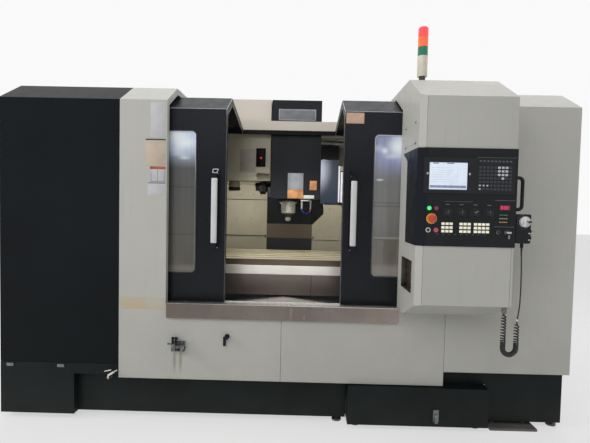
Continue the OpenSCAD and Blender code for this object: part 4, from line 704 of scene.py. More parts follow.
def on_panel(x, z, out=0.0):
    """A place from the panel's lower left corner, out towards the operator."""
    return PANEL_X + x, PANEL_Y - out, PANEL_Z + z


def disc(radius, height, round_over=1.0):
    """Outline of a flat round cap with a rounded rim."""
    return [(0, 0), (radius, 0), (radius, height - round_over),
            (radius - 0.3 * round_over, height - 0.3 * round_over), (radius - round_over, height),
            (0, height)]


print("knobs at x =", [round(on_panel(x, 0)[0], 1) for x in KNOB_X])

# %% Display glass and its plain picture
blocks("screen_glass", *BLACK, screen_lit, 0.3, ((812.5, SCREEN_Y, 1569), (1023.5, SCREEN_Y + 1.2, 1721)))
# Bars and lines are two places in X, then two in Z.
BARS = [(816 + i * 34, 849 + i * 34, 1579, 1593) for i in range(6)]
BARS += [(830, 862, 1713, 1719), (908, 948, 1713, 1719)]
blocks("screen_bars", *BLACK, glowing("screen_bar", (0.15, 0.17, 0.3), 0.5), 0,
       *(((x0, SCREEN_Y - 0.4, z0), (x1, SCREEN_Y, z1)) for x0, x1, z0, z1 in BARS))
LINES = [(826, 930 + 11 * (i % 3), 1612 + i * 13, 1614 + i * 13) for i in range(7)]
LINES += [(968, 969.5, 1606, 1702)]
blocks("screen_lines", *BLACK, glowing("screen_line", (0.33, 0.37, 0.45), 0.8), 0,
       *(((x0, SCREEN_Y - 0.3, z0), (x1, SCREEN_Y, z1)) for x0, x1, z0, z1 in LINES))
blocks("screen_side_keys", *BLACK, key_black, 0.2,
       *(((x - 5, -386.6, z - 4), (x + 5, -386, z + 4)) for x in (801, 1036) for z in (1575, 1715)))
blocks("screen_side_marks", *WHITE, legend, 0.3,
       *(((x - 5, -386.8, 1653), (x + 5, -386, 1664)) for x in (801, 1036)))
print("display ready")

# %% White number keys over the dark field, legends and dividing lines
bm = bmesh.new()
for column in range(3):
    for row in range(3):
        x, z = 1190.5 + column * 20.9, 1657 + row * 20
        soft_block(bm, (x + 0.5, KEYS_Y - 1, z - 6), (x + 15.5, KEYS_Y, z + 6), 0.5)
soft_block(bm, (1211.9, KEYS_Y - 1, 1631), (1226.9, KEYS_Y, 1643), 0.5)
for x, z in ((1086, 1572), (1086, 1592), (1107, 1592), (1128, 1592)):
    soft_block(bm, (x + 2, KEYS_Y - 0.8, z), (x + 12, KEYS_Y, z + 8), 0.4)
piece("number_keys", bm, *WHITE, legend)
bm = bmesh.new()
for i in range(9):
    soft_block(bm, (1089 + i * 20.9, KEYS_Y - 0.4, 1732), (1099 + i * 20.9, KEYS_Y, 1735), 0)
# Rules are two places in X, two in Z and their height over the panel.
RULES = [(1075, 1298, 1752, 1753.4, 0.5), (1184, 1298, 1514, 1515.4, 0.5), (1184, 1298, 1366, 1367.4, 0.5),
         (900, 1060, 1503, 1504, 0.4)]
RULES += [(PANEL_X + x - 11, PANEL_X + x + 11, 1485, 1488, 0.4) for x in KNOB_X]
RULES += [(865 + 33 * i, 874 + 33 * i, 1318, 1320, 0.4) for i in range(9)]
for x0, x1, z0, z1, high in RULES:
    soft_block(bm, (x0, PANEL_Y - high, z0), (x1, PANEL_Y, z1), 0)
soft_block(bm, (1262, PANEL_Y - 9, 1300), (1273, PANEL_Y - 7.6, 1322), 0.4)
piece("panel_lines", bm, *WHITE, legend_dim)
print("keys ready")

# %% Knobs with their dials
for name, x in zip(("mode", "feed", "rapid", "spindle"), KNOB_X):
    bm = bmesh.new()
    turned(bm, [(0, 1.5), (15, 1.5), (15.6, 3), (14.6, 8), (13, 9), (0, 9)], on_panel(x, KNOB_Z), "-Y")
    soft_block(bm, on_panel(x - 4.6, KNOB_Z - 14, 19.5), on_panel(x + 4.6, KNOB_Z + 14, 8), 1.6)
    knob = piece(name + "_knob_grip", bm, name + "_knob", "black_plastic", key_black)
    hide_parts(name + "_knob")
    bm = bmesh.new()
    lean = 11 if name == "rapid" else 0
    rod(bm, on_panel(x - lean * 0.5, KNOB_Z + 2, 19.4), on_panel(x + lean, KNOB_Z + 12, 19.4), 1.1, 8)
    piece(name + "_knob_line", bm, name + "_knob", "white_plastic", white_plastic if lean else legend_dim)
bm = bmesh.new()
for x in KNOB_X:
    for step in range(11):
        a = math.radians(-140 + 28 * step)
        reach = Vector((math.sin(a), math.cos(a)))
        inner, outer = reach * 21, reach * 26
        rod(bm, on_panel(x + inner.x, KNOB_Z + inner.y, 1.4), on_panel(x + outer.x, KNOB_Z + outer.y, 1.4),
            0.7, 6)
piece("dial_ticks", bm, *WHITE, legend_dim)
print("knobs ready")

# %% Emergency stop and push buttons
STOP = (78, 155)
STOP_PLATE = [(13.6, 1.2), (30, 1.2), (30, 2.2), (28.5, 3), (20, 3.4), (18.8, 3.2), (18.8, 8.1), (13.6, 8.1),
              (13.6, 1.2)]
rounds("stop_disc", "machine", "green_plastic", yellow_gloss, STOP_PLATE, [on_panel(*STOP)], "-Y")
MUSHROOM = [(0, 8.5), (13, 8.5), (13, 15.5), (19, 15.5), (20, 17), (20, 26), (18.4, 30), (14, 32.6), (7, 34),
            (0, 34.4)]
stop_head = rounds("stop_mushroom", "emergency_stop", "red_plastic", red_gloss, MUSHROOM, [on_panel(*STOP)],
                   "-Y")
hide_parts("emergency_stop")
green_rim = glowing("green_rim", (0.0, 0.09, 0.045), 0.25)
pink_rim = finish("pink_rim", (0.5, 0.09, 0.15), 0.35, clouds=(30.0, 0.1))
BUTTONS = (("power_on", 62, 214, 11, button_green, "green_plastic", green_rim),
           ("power_off", 101, 214, 11, button_dark_red, "red_plastic", key_black),
           ("cycle_start", 59, 91, 9, key_black, "white_plastic", bright_steel),
           ("feed_hold", 104, 91, 9, button_pink, "pink_plastic", pink_rim))
for name, x, z, r, material, slot, rim_material in BUTTONS:
    cap = rounds(name + "_cap", name + "_button", slot, material,
                 [(0, 3.5), (r, 3.5), (r, 8.6), (r - 0.8, 9.4), (r * 0.6, 9.9), (0, 10)], [on_panel(x, z)],
                 "-Y", 32)
    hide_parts(name + "_button")
    rounds(name + "_rim", "machine", slot, rim_material,
           [(r + 0.4, 0), (r + 4.4, 0), (r + 4.4, 2.4), (r + 3.6, 3.4), (r + 3.4, 7.2), (r + 0.4, 7.6),
            (r + 0.4, 0)], [on_panel(x, z)], "-Y", 32)
rounds("start_ring", *WHITE, white_plastic,
       [(9.6, 7.7), (13, 7.4), (13.6, 8.0), (9.6, 8.4), (9.6, 7.7)], [on_panel(59, 91)], "-Y", 32)
print("buttons ready")

# %% Readout, lamp rows and key switches
SEGMENTS = ((0, 12, 7, 13.4), (0, 6, 7, 7.4), (0, 0, 7, 1.4), (0, 0, 1.4, 6.7), (5.6, 0, 7, 6.7),
            (0, 6.7, 1.4, 13.4), (5.6, 6.7, 7, 13.4))
blocks("readout_field", "machine", "red_plastic", led_field, 0.3,
       (on_panel(456, 211, 3.9), on_panel(514, 238, 3.2)))
bm = bmesh.new()
for digit in range(3):
    for x0, z0, x1, z1 in SEGMENTS:
        x, y, z = on_panel(464 + 14.5 * digit, 216, 4.3)
        soft_block(bm, (x + x0 * 1.3, y, z + z0 * 1.2), (x + x1 * 1.3, y + 0.5, z + z1 * 1.2), 0)
piece("readout_digits", bm, "machine", "red_plastic", led_red)
for z, material, colour in ((183, led_green, "green"), (163, led_lime, "lime"), (143, led_orange, "orange")):
    rounds("lamp_row_" + colour, "machine", "green_plastic", material, disc(3.4, 3.4, 1.2),
           [on_panel(462 + 12 * i, z) for i in range(4)], "-Y", 16)
rounds("key_switch_faces", *BRIGHT, dark_steel, [(0, 4), (11.6, 4), (11.6, 5), (9.5, 6), (4, 6.2), (0, 6.2)],
       [on_panel(x, 86) for x in (453, 498)], "-Y", 28)
bm = bmesh.new()
soft_block(bm, (1251, PANEL_Y - 24, 1331.6), (1255, PANEL_Y - 5, 1340), 0.8)
soft_block(bm, (1252, PANEL_Y - 26, 1330), (1273, PANEL_Y - 22, 1341), 1.5)
piece("key_in_switch", bm, *BRIGHT, legend)
print("panel ready")

# %% [markdown]
# ## Signal tower
# The tower is a stack: a dark foot, a cream body, then green, amber and red lenses with fine rings moulded
# in, and a domed top. A bump could give the rings, but real ones show at the outline too. So each part is
# one outline spun round the same axis, and the stack replaces the plain solid.

# %% Signal tower stack
TOWER = (859, 20, 2256)


def ringed(radius, low, high, rings):
    """Outline of a lens: small moulded ribs between two heights."""
    outline = [(0, low), (radius, low)]
    step = (high - low) / rings
    for i in range(rings):
        z = low + i * step
        outline += [(radius, z + step * 0.15), (radius - 1.1, z + step * 0.3),
                    (radius - 1.1, z + step * 0.75), (radius, z + step * 0.9)]
    return outline + [(radius, high), (0, high)]


STACK = (("tower_foot", [(0, 0), (32.5, 0), (32.5, 4), (22, 6), (20, 10), (20, 50), (0, 50)], feet_paint),
         ("tower_body", [(0, 50), (30, 50), (32, 56), (32, 180), (30.5, 182), (0, 182)], tower_cream),
         ("tower_green", ringed(32.2, 182, 238, 6), lens_green),
         ("tower_amber", ringed(32.4, 238, 300, 6), lens_amber),
         ("tower_red", ringed(32.2, 300, 352, 6)[:-1] + [(31, 354), (29, 361), (22, 365.5), (0, 366)],
          lens_red))
for name, outline, material in STACK:
    part = rounds(name, "machine", "tower", material, outline, [TOWER], "+Z", 48)
    if name == "tower_foot":
        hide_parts("signal_tower")
print("tower ready")

# %% [markdown]
# ## Doors
# Each door is a folded sheet with a window. Three things make it read as a door: the thin rounded edge along
# the fold, painted lighter as a highlight, the rubber rim that holds the pane, and the bar handle on black
# brackets.
# The edge is a chain of thin rods along the sheet's outline, and the rim is a rounded frame: a rectangle
# with bevelled corners, inset and then extruded.

# %% Door edges
DOOR_FOLDS = ((78, 799), (78, 2090), (301, 2211), (934, 2090))
FOLD = 45


def inset(outline, depth):
    """A sheet's outline in Y and Z, moved to its inner side by the depth of the fold."""
    rows = []
    for (y0, z0), (y1, z1) in zip(outline, outline[1:]):
        run = Vector((y1 - y0, z1 - z0)).normalized()
        rows.append((Vector((y0, z0)) + depth * Vector((run.y, -run.x)), run))
    points = [rows[0][0]]
    for (a, u), (b, v) in zip(rows, rows[1:]):
        along = ((b - a).x * v.y - (b - a).y * v.x) / (u.x * v.y - u.y * v.x)
        points.append(a + along * u)
    last, run = rows[-1]
    points.append(last + (Vector(outline[-1]) - Vector(outline[-2])).length * run)
    return [tuple(point) for point in points]


# Painted highlight: the edge rods are painted lighter than the door, and much lighter on the slopes above z
# 2.03.
edge_paint = finish("door_edge_painted_highlight", (0.13, 0.145, 0.165), 0.35, clouds=(14.0, 0.3), grain=(500, 0.0001))
fade(edge_paint, "Z", (2.03, 2.09), (0.5, 0.52, 0.56))
for name, xs in (("left_door", (-1219, -409)), ("right_door", (376, 1186))):
    bm = bmesh.new()
    for x in xs:
        for outline, r in ((DOOR_FOLDS, 1.7), (inset(DOOR_FOLDS, FOLD), 1.5)):
            for a, b in zip(outline, outline[1:]):
                rod(bm, (x, *a), (x, *b), r, 8)
    for fold in DOOR_FOLDS[1:3]:
        rod(bm, (xs[0], *fold), (xs[1], *fold), 1.5, 8)
    piece(name + "_edge", bm, name, "door_paint", edge_paint)
print("door edges ready")

# %% Fold of the pillar beside the doors
PILLAR_FOLDS = ((1, 792), (1, 2124), (229, 2254), (900, 2254))
bm = bmesh.new()
outer, inner = PILLAR_FOLDS, inset(PILLAR_FOLDS, 38)
for (a, b), (c, d) in zip(zip(outer, outer[1:]), zip(inner, inner[1:])):
    near = [bm.verts.new(at(-782.9, y, z)) for y, z in (a, b, d, c)]
    sheet = bm.faces.new(near)
    moved = bmesh.ops.extrude_face_region(bm, geom=[sheet])["geom"]
    bmesh.ops.translate(bm, verts=[v for v in moved if isinstance(v, bmesh.types.BMVert)],
                        vec=(1.4 * MM, 0, 0))
for a, b in zip(inner, inner[1:]):
    rod(bm, (-782.2, *a), (-782.2, *b), 1.6, 8)
piece("pillar_fold", bm, "machine", "cream", cream)
print("pillar fold ready")


# %% Window rims
def round_frame(bm, low, high, y, corner, width, depth):
    """A frame with round corners, standing in X and Z, with its front at y; width and depth are in mm."""
    (x0, z0), (x1, z1) = low, high
    verts = [bm.verts.new(at(x, y, z)) for x, z in ((x0, z0), (x1, z0), (x1, z1), (x0, z1))]
    sheet = bm.faces.new(verts)
    cut = bmesh.ops.bevel(bm, geom=verts, offset=corner * MM, segments=8, profile=0.5, affect="VERTICES",
                          material=-1)
    sheet = max((f for f in bm.faces if f.is_valid and all(v in cut["verts"] for v in f.verts)),
                key=lambda f: f.calc_area())
    ring = bmesh.ops.inset_individual(bm, faces=[sheet], thickness=width * MM, use_even_offset=True)["faces"]
    bmesh.ops.delete(bm, geom=[sheet], context="FACES_ONLY")
    wall = bmesh.ops.extrude_face_region(bm, geom=ring)["geom"]
    moved = [v for v in wall if isinstance(v, bmesh.types.BMVert)]
    bmesh.ops.translate(bm, verts=moved, vec=(0, -depth * MM, 0))
    print("window frame of", len(bm.faces), "faces")


bead_grey = finish("window_bead_grey", (0.27, 0.27, 0.26), 0.3, clouds=(14.0, 0.2), grain=(500, 0.0001))
# Painted highlight: the bead is painted near-white towards its top.
fade(bead_grey, "Z", (1.55, 1.9), (0.85, 0.88, 0.95))
rim_rubber = finish("window_rim", (0.03, 0.035, 0.042), 0.3, clouds=(20.0, 0.2), grain=(900, 0.0001))
for name, x0, x1 in (("left_door", -1110, -610), ("right_door", 577, 1077)):
    bm = bmesh.new()
    round_frame(bm, (x0 - 5, 991), (x1 + 5, 1945), 75.2, 34, 7, 2.7)
    piece(name + "_window_rim", bm, name, "door_paint", rim_rubber)
    bm = bmesh.new()
    round_frame(bm, (x0 + 0.5, 996.5), (x1 - 0.5, 1939.5), 77.2, 29, 5, 3.0)
    piece(name + "_window_bead", bm, name, "door_paint", bead_grey)
print("window rims ready")

# %% Handles
silver_trim = finish("silver_trim", (0.6, 0.6, 0.6), 0.3, metal=1.0, clouds=(20.0, 0.1), grain=(500, 0.0001))
for name, x0 in (("left", -495), ("right", 423)):
    bm = bmesh.new()
    soft_block(bm, (x0, 15, 1199), (x0 + 39, 37, 1629), 7)
    bar = piece(name + "_handle_bar", bm, name + "_door", "white_plastic", white_plastic, 60)
    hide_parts(name + "_handle")
    bm = bmesh.new()
    for z in (1169, 1629):
        soft_block(bm, (x0 + 4, 19, z), (x0 + 35, 78, z + 30), 3)
        soft_block(bm, (x0 - 1, 74.5, z - 6), (x0 + 40, 78, z + 36), 1)
    piece(name + "_handle_brackets", bm, name + "_door", "black_plastic", panel_black)
    rounds(name + "_handle_screws", name + "_door", "bright", silver_trim, disc(2.6, 1.6, 0.8),
           [(x0 + dx, 74.5, z) for z in (1167, 1661) for dx in (6, 33)], "-Y", 12)
bm = bmesh.new()
EYE = [(-490, 34, 1664), (-485, 34, 1687), (-452, 34, 1687), (-461, 34, 1664)]
for a, b in zip(EYE, EYE[1:] + EYE[:1]):
    rod(bm, a, b, 2.9, 12)
rod(bm, (-473, 34, 1687), (-473, 76, 1690), 4, 12)
piece("left_latch_eye", bm, "left_door", "bright", white_plastic)
bm = bmesh.new()
soft_block(bm, (430, 30, 1660), (456, 76, 1686), 3)
soft_block(bm, (426, 22, 1676), (440, 34, 1706), 2)
piece("right_latch", bm, "right_door", "black_plastic", panel_black)
print("handles ready")

# %% [markdown]
# ## Plain plates
# Thin plates break up the plain sheets of the pillar, the door and the head. A colour laid over the sheet's
# paint could show them, but a plate has an edge that catches light and a finish of its own. So each is a
# soft block about a millimetre thick, and a stripe on it is a thinner one in front.

# %% Plates on the pillar and the door
ON_PILLAR, ON_HEAD = ("machine", "cream"), ("head", "dark_sheet")
plate_tan = finish("plain_plate_tan", (0.5, 0.41, 0.33), 0.45, clouds=(12.0, 0.08))
stripe_green = finish("plain_stripe_green", (0.02, 0.05, 0.03), 0.5, clouds=(12.0, 0.1))
plate_peach = finish("plain_plate_peach", (0.6, 0.42, 0.3), 0.45, clouds=(10.0, 0.15))
name_field = finish("name_field_grey", (0.2, 0.21, 0.23), 0.4, clouds=(12.0, 0.15))
blocks("pillar_plates_pale", *ON_PILLAR, plate_white, 0.3, ((-891, -0.8, 1884), (-798, 0, 2108)),
       ((-892, -0.8, 1590), (-791, 0, 1690)), ((-906, -0.8, 1508), (-791, 0, 1583)))
blocks("pillar_plate_tan", *ON_PILLAR, plate_tan, 0.3, ((-922, -0.8, 1697), (-792, 0, 1872)))
blocks("pillar_stripe_green", *ON_PILLAR, stripe_green, 0, ((-922, -1.2, 1864), (-792, -0.8, 1873)))
blocks("pillar_stripe_red", *ON_PILLAR, plate_red, 0, ((-892, -1.2, 1676), (-791, -0.8, 1694)))
blocks("pillar_plate_lines", *ON_PILLAR, panel_black, 0, ((-886, -1.2, 1596), (-884.5, -0.8, 1672)),
       ((-797, -1.2, 1596), (-795.5, -0.8, 1672)), ((-886, -1.2, 1595), (-795.5, -0.8, 1597)),
       ((-843, -1.2, 1597), (-841.5, -0.8, 1672)), ((-906, -1.2, 1585), (-791, -0.8, 1588)))
blocks("right_door_plate", "right_door", "door_paint", plate_peach, 0.3, ((385, 77.2, 2011), (503, 78, 2082)))
print("pillar plates ready")

# %% Plates on the head
bm = bmesh.new()
soft_block(bm, (-23, 983.4, 1594), (113, 985, 1736), 0.4)
soft_block(bm, (-112, 983, 2191), (211, 985, 2288), 0.6)
piece("head_plates_silver", bm, *ON_HEAD, plate_silver)
blocks("head_plates_orange", *ON_HEAD, plate_orange, 0.4, ((-23, 983.6, 1516), (113, 985, 1592)),
       ((171, 983.6, 1593), (230, 985, 1671)))
bm = bmesh.new()
soft_block(bm, (30, 983.2, 1578), (113, 983.6, 1586), 0)
soft_block(bm, (169, 984.2, 1591), (232, 985, 1673), 0.3)
piece("head_plate_stripes", bm, *ON_HEAD, plate_red)
blocks("head_plate_white", *ON_HEAD, plate_white, 0.4, ((117, 983.6, 1516), (210, 985, 1546)))
blocks("head_name_field", *ON_HEAD, name_field, 0.3, ((-104, 982.4, 2199), (203, 983.2, 2280)))
print("head plates ready")

# %% [markdown]
# ## Spindle, tool and coolant nozzles
# The spindle ends in a ring of ground steel with bolts. The tool holder under it has the collar with the
# groove that the changer grips, then a nut and the cutter. Holder and tool are one outline, spun round the
# spindle's axis. The coolant hoses are the kind that snap together from ball-shaped links and stay where
# they are bent, so each one is a row of small turned links.

# %% Spindle ring and flange
SPINDLE = (-20, 1180)
ON_AXIS = (*SPINDLE, 0)


def bolts(bm, ring_r, start, size, z):
    """Eight bolt heads on a ring round the spindle, pointing down."""
    for i in range(8):
        turned(bm, disc(size, size, 1), (*polar(SPINDLE, ring_r, 2 * math.pi * (i + start) / 8), z), "-Z", 12)


def lugs(bm, count, start, ring_r, half, low, high, soft):
    """Square lugs on a ring round the spindle, between two heights."""
    for i in range(count):
        x, y = polar(SPINDLE, ring_r, 2 * math.pi * (i + start) / count)
        soft_block(bm, (x - half, y - half, low), (x + half, y + half, high), soft)


bm = bmesh.new()
turned(bm, [(46, 1380.5), (58, 1380.2), (63, 1384), (64.4, 1386), (64.4, 1468), (76, 1470), (79, 1473),
            (79, 1508), (46, 1508), (46, 1380.5)], ON_AXIS, "+Z", 56)
bolts(bm, 54, 0.5, 5, 1380.4)
lugs(bm, 8, 0.5, 71, 4, 1465, 1471, 1)
piece("spindle_ring", bm, "head", "bright", spindle_steel)
bm = bmesh.new()
turned(bm, [(66, 1490), (96, 1490), (98, 1492), (98, 1506), (96, 1508.5), (66, 1508.5), (66, 1490)], ON_AXIS,
       "+Z", 56)
bolts(bm, 88, 0, 6, 1490)
piece("spindle_flange", bm, "head", "bright", dark_steel)
print("spindle ring ready")

# %% Tool holder, nut and drive keys
HOLDER = [(0, 1499), (44.8, 1499), (44.8, 1376), (43, 1373.5), (36, 1373), (33, 1372), (33, 1366),
          (27.5, 1363), (27.5, 1359), (33, 1356), (33, 1349), (31.5, 1347), (22, 1346), (20, 1342), (0, 1342)]
tool = rounds("tool_holder", "spindle", "bright", dark_steel, HOLDER, [ON_AXIS], "+Z", 48)
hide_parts("spindle")
bm = bmesh.new()
turned(bm, [(0, 1343), (21, 1343), (22.6, 1340), (22.6, 1318), (21, 1315), (14, 1314), (13, 1313), (13, 1311),
            (11.5, 1309.4), (0, 1309.4)], ON_AXIS, "+Z", 48)
for i in range(6):
    x, y = polar(SPINDLE, 22, math.pi * i / 3)
    rod(bm, (x, y, 1319), (x, y, 1339), 2.2, 8)
piece("collet_nut", bm, "spindle", "bright", spindle_steel)
bm = bmesh.new()
lugs(bm, 4, 0, 36, 7, 1364, 1376, 1.2)
piece("drive_keys", bm, "spindle", "bright", dark_steel)
print("spindle ready")

# %% Coolant pipes and link hose
HOSE_X, HOSE_Y, HOSE_Z, LOOP_R = 104, 1140, 1420, 40
bm = bmesh.new()
soft_block(bm, (HOSE_X - 14, HOSE_Y - 14, 1494), (HOSE_X + 2 * LOOP_R + 14, HOSE_Y + 14, 1512), 2.5)
for x in (HOSE_X, HOSE_X + 2 * LOOP_R):
    turned(bm, [(0, 1426), (9, 1426), (9.6, 1429), (9, 1432), (9, 1462), (12.4, 1464), (12.4, 1478),
                (9, 1480), (9, 1495), (0, 1495)], (x, HOSE_Y, 0), "+Z", 6 if x == HOSE_X else 24)
nozzles = piece("coolant_pipes", bm, "head", "bright", bright_steel)
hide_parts("coolant_nozzles")
for name, low, high, material in (("blue_links", 0, 8, blue_hose), ("orange_links", 8, 10, orange_hose)):
    bm = bmesh.new()
    for i in range(low, high):
        a = math.pi * (i + 0.5) / 10
        middle = at(HOSE_X + LOOP_R - LOOP_R * math.cos(a), HOSE_Y, HOSE_Z + 3 - LOOP_R * math.sin(a))
        turned(bm, [(0, -6.5), (5.5, -6.5), (7.4, -4.5), (7.6, 0), (6.8, 2.5), (4.6, 4), (4.6, 6.5),
                    (0, 6.5)], (0, MIDDLE_Y, 0), "+Z", 14)
        link_verts = [v for v in bm.verts if not v.tag]
        turn = Matrix.Translation(middle) @ Matrix.Rotation(math.pi - a, 4, "Y")
        bmesh.ops.transform(bm, matrix=turn, verts=link_verts)
        for v in bm.verts:
            v.tag = True
    piece("hose_" + name, bm, "head", "bright", material)
print("nozzles ready")

# %% [markdown]
# ## Work lamps
# Two upright lamps light the work area from the right. Each is a dark channel with end caps and a lit strip
# behind a rounded cover. A strip that glows strongly enough to light the walls would make the picture
# grainy. So the strips glow softly, and hidden soft lamps do their work later.

# %% Work lamps
housing = bmesh.new()
strip = bmesh.new()
for x0, x1, z0, z1 in ((488, 512, 1480, 1896), (514, 542, 1480, 1830)):
    soft_block(housing, (x0, 1876, z0), (x1, 1905, z1), 2)
    for z in (z0, z1 - 12):
        soft_block(housing, (x0 + 0.5, 1863, z), (x1 - 0.5, 1880, z + 12), 2)
    soft_block(strip, (x0 + 3, 1863.5, z0 + 12), (x1 - 3, 1877, z1 - 12), 4)
lamps = piece("lamp_housings", housing, "machine", "lamp", panel_black)
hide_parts("work_lamp")
piece("lamp_strips", strip, "machine", "lamp", lamp_lit)
print("work lamps ready")

# %% [markdown]
# ## Tool magazine's cover
# Its front has a service hatch held by screws, and a dark window with a small red lamp. The hatch is a
# plate laid on the sheet, not a cut in it, so a thin soft block is all it needs. Its screws are one small
# outline, spun at each corner.

# %% Hatch and window of the magazine
hatch_paint = finish("hatch_paint", (0.36, 0.33, 0.28), 0.45, clouds=(6.0, 0.12), runs=0.2)
blocks("magazine_hatch", "machine", "inner_cream", hatch_paint, 0.8,
       ((-447, 998.6, 1741), (-309, 1001.4, 1937)))
rounds("hatch_screws", *BRIGHT, silver_trim, disc(4, 2.4, 0.8),
       [(x, 998.6, z) for x in (-437, -319) for z in (1751, 1927)], "-Y", 14)
window_dark = finish("dark_window", (0.008, 0.006, 0.006), 0.4, clouds=(20.0, 0.2), shine=0.08)
blocks("magazine_window", *BLACK, window_dark, 0.8, ((-305, 999.4, 1786), (-221, 1001.4, 1948)))
rounds("magazine_lamp", "machine", "red_plastic", glowing("magazine_lamp_red", (0.5, 0.03, 0.04), 0.35),
       [(0, 0), (11, 0), (11, 3), (8, 6), (3, 7.4), (0, 7.6)], [(-262, 999.6, 1863)], "-Y", 20)
print("magazine cover ready")

# %% Wall screws, seam ends and the waiting pot's flange
WALL_SCREWS = ((-420, 1560), (-335, 1556), (-560, 1552), (410, 1420), (560, 1420), (-440, 1290), (-600, 1290))
rounds("wall_screws", *BRIGHT, dark_steel, disc(5, 2.6, 1), [(x, 1905, z) for x, z in WALL_SCREWS], "-Y", 12)
bm = bmesh.new()
for z in (2117, 2163):
    rod(bm, (300, 1878, z + 8), (560, 1878, z - 4), 17, 20)
soft_block(bm, (290, 1896, 2080), (540, 1904, 2210), 2)
piece("wall_pipes", bm, "machine", "inner_cream",
      finish("pipe_grey", (0.19, 0.19, 0.175), 0.45, clouds=(9.0, 0.2), shine=0.3))
blocks("seam_ends", "machine", "inner_cream", rail_shade_and_seam_black, 0.5, ((-290, 1901.5, 1092), (-280, 1905, 1122)),
       ((232, 1901.5, 1088), (242, 1905, 1118)))
POT = (-518, 1180, 0)
POT_FLANGE = [(0, 1577), (42, 1577), (46, 1580), (46, 1584), (54, 1586), (56, 1589), (56, 1597), (53, 1600),
              (50.2, 1600), (50.2, 1583), (0, 1583)]
rounds("pot_flange", *BLACK, changer_paint, POT_FLANGE, [POT], "+Z")
print("wall details ready")

# %% [markdown]
# ## Operator box
# The pocket in the box's side is lined with a dark plate. The service plate has four dark screws, and thin
# seams run down the front where the sheets meet. A seam is a groove on the real box. Here it is a dark
# strip less than a millimetre high, which looks the same and leaves the solid as it is.

# %% Pocket lining, screws and seams
pocket_dark = finish("pocket_lining", (0.07, 0.055, 0.045), 0.3, clouds=(6.0, 0.4), runs=0.5)
blocks("pocket_lining", *BLACK, pocket_dark, 0.3, ((791.6, -281, 956), (794.4, -17, 1149)),
       ((757, -281.4, 955.6), (792, -278.6, 1149.4)), ((757, -19.4, 955.6), (792, -16.6, 1149.4)),
       ((757, -281, 955.6), (792, -17, 957.6)), ((757, -281, 1147.4), (792, -17, 1149.4)))
SCREW = [(0, 1.4), (5.6, 3.5), (5.8, 4.2), (4.6, 6.2), (2.6, 7), (2.2, 5.4), (0, 5.4)]
rounds("service_screws", *BLACK, dark_steel, SCREW,
       [(755, y, z) for y in (-286, -48) for z in (1836, 1956)], "-X", 18)
seam_dark = finish("seam_shadow", (0.16, 0.155, 0.14), 0.6, clouds=(20.0, 0.2))
SEAMS = ((793.5, 912, 1249), (793.5, 1805, 2093), (1290, 912, 1249))
blocks("box_seams", "machine", "cream", seam_dark, 0,
       *(((x - 0.8, -374.4, z0), (x + 0.8, -373.8, z1)) for x, z0, z1 in SEAMS))
print("operator box ready")

# %% [markdown]
# ## Fittings under the doors
# A bracket of worn zinc holds the coolant gun's two black stubs. Beside it are a black hose hook, the drain
# valve with its lever, two latches and the clip of the coolant tank. They are small, so blocks, rods and
# short turned outlines pushed into each other are enough. Pieces of one finish share a mesh.

# %% Gun bracket, stubs and hook
worn_zinc = finish("worn_zinc", (0.15, 0.15, 0.145), 0.35, metal=0.5, clouds=(70.0, 0.45),
                   grain=(300, 0.0002))
zinc = finish("bright_zinc", (0.6, 0.59, 0.57), 0.35, metal=0.5, clouds=(26.0, 0.2), grain=(300, 0.0002))
bm = bmesh.new()
for low, high in (((-728, -6, 498), (-648, 0, 548)), ((-731, -46, 491), (-646, -6, 496)),
                  ((-731, -46, 495), (-704, -42, 538)), ((-670, -46, 495), (-646, -42, 532))):
    soft_block(bm, low, high, 1)
rod(bm, (-704, -34, 516), (-652, -34, 522), 10, 20)
rod(bm, (-668, -30, 500), (-660, -30, 536), 7, 16)
rod(bm, (-754, -39, 539), (-722, -39, 537), 5.5, 16)
turned(bm, disc(8.5, 5, 1), (-750, -39, 539), "-X", 6)
for x in (-722, -656):
    turned(bm, disc(5, 3, 1), (x, -6, 541), "-Y", 6)
fittings = piece("gun_bracket", bm, *BRIGHT, worn_zinc)
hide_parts("panel_fittings")
bm = bmesh.new()
for x in (-722, -701):
    rod(bm, (x, -39, 534), (x, -39, 578), 7, 20)
    turned(bm, disc(8.2, 7, 2), (x, -39, 577), "+Z", 20)
    rod(bm, (x, -34, 566), (x, 0, 566), 5, 14)
HOOK = (-372, 571)
turned(bm, [(0, 0), (17, 0), (17, 4), (12, 6), (11, 26), (14, 30), (13, 34), (0, 34)],
       (HOOK[0], 0, HOOK[1] + 14), "-Y", 24)
soft_block(bm, (HOOK[0] - 22, -34, HOOK[1] - 42), (HOOK[0] - 2, -20, HOOK[1] + 20), 5)
piece("gun_stubs_and_hook", bm, *BLACK, panel_black)
print("bracket ready")

# %% Drain valve and latches
VALVE = (-1150, 298)
old_brass = finish("old_brass", (0.08, 0.07, 0.055), 0.4, metal=0.6, clouds=(30.0, 0.4))
rounds("valve_body", *BRIGHT, old_brass, [(0, 0), (12, 0), (12, 26), (15, 28), (15, 46), (11, 48), (11, 70),
                                          (14, 72), (14, 80), (0, 80)], [(VALVE[0], 54, VALVE[1])], "-Y", 6)
bm = bmesh.new()
for y, (x0, z0), (x1, z1), r, sides in ((-30, (2, 17), (40, 41), 7.5, 16), (-30, (38, 40), (60, 53), 4.5, 12),
                                        (-28, (-24, 43), (20, 53), 4, 12), (-30, (0, -2), (4, 20), 5, 12)):
    rod(bm, (VALVE[0] + x0, y, VALVE[1] + z0), (VALVE[0] + x1, y, VALVE[1] + z1), r, sides)
piece("valve_lever", bm, *BRIGHT, zinc)
bm = bmesh.new()
soft_block(bm, (990, -40, 66), (1026, -30, 146), 1.5)
soft_block(bm, (997, -52, 60), (1019, -40, 120), 2.5)
rod(bm, (996, -46, 116), (1020, -46, 116), 4, 12)
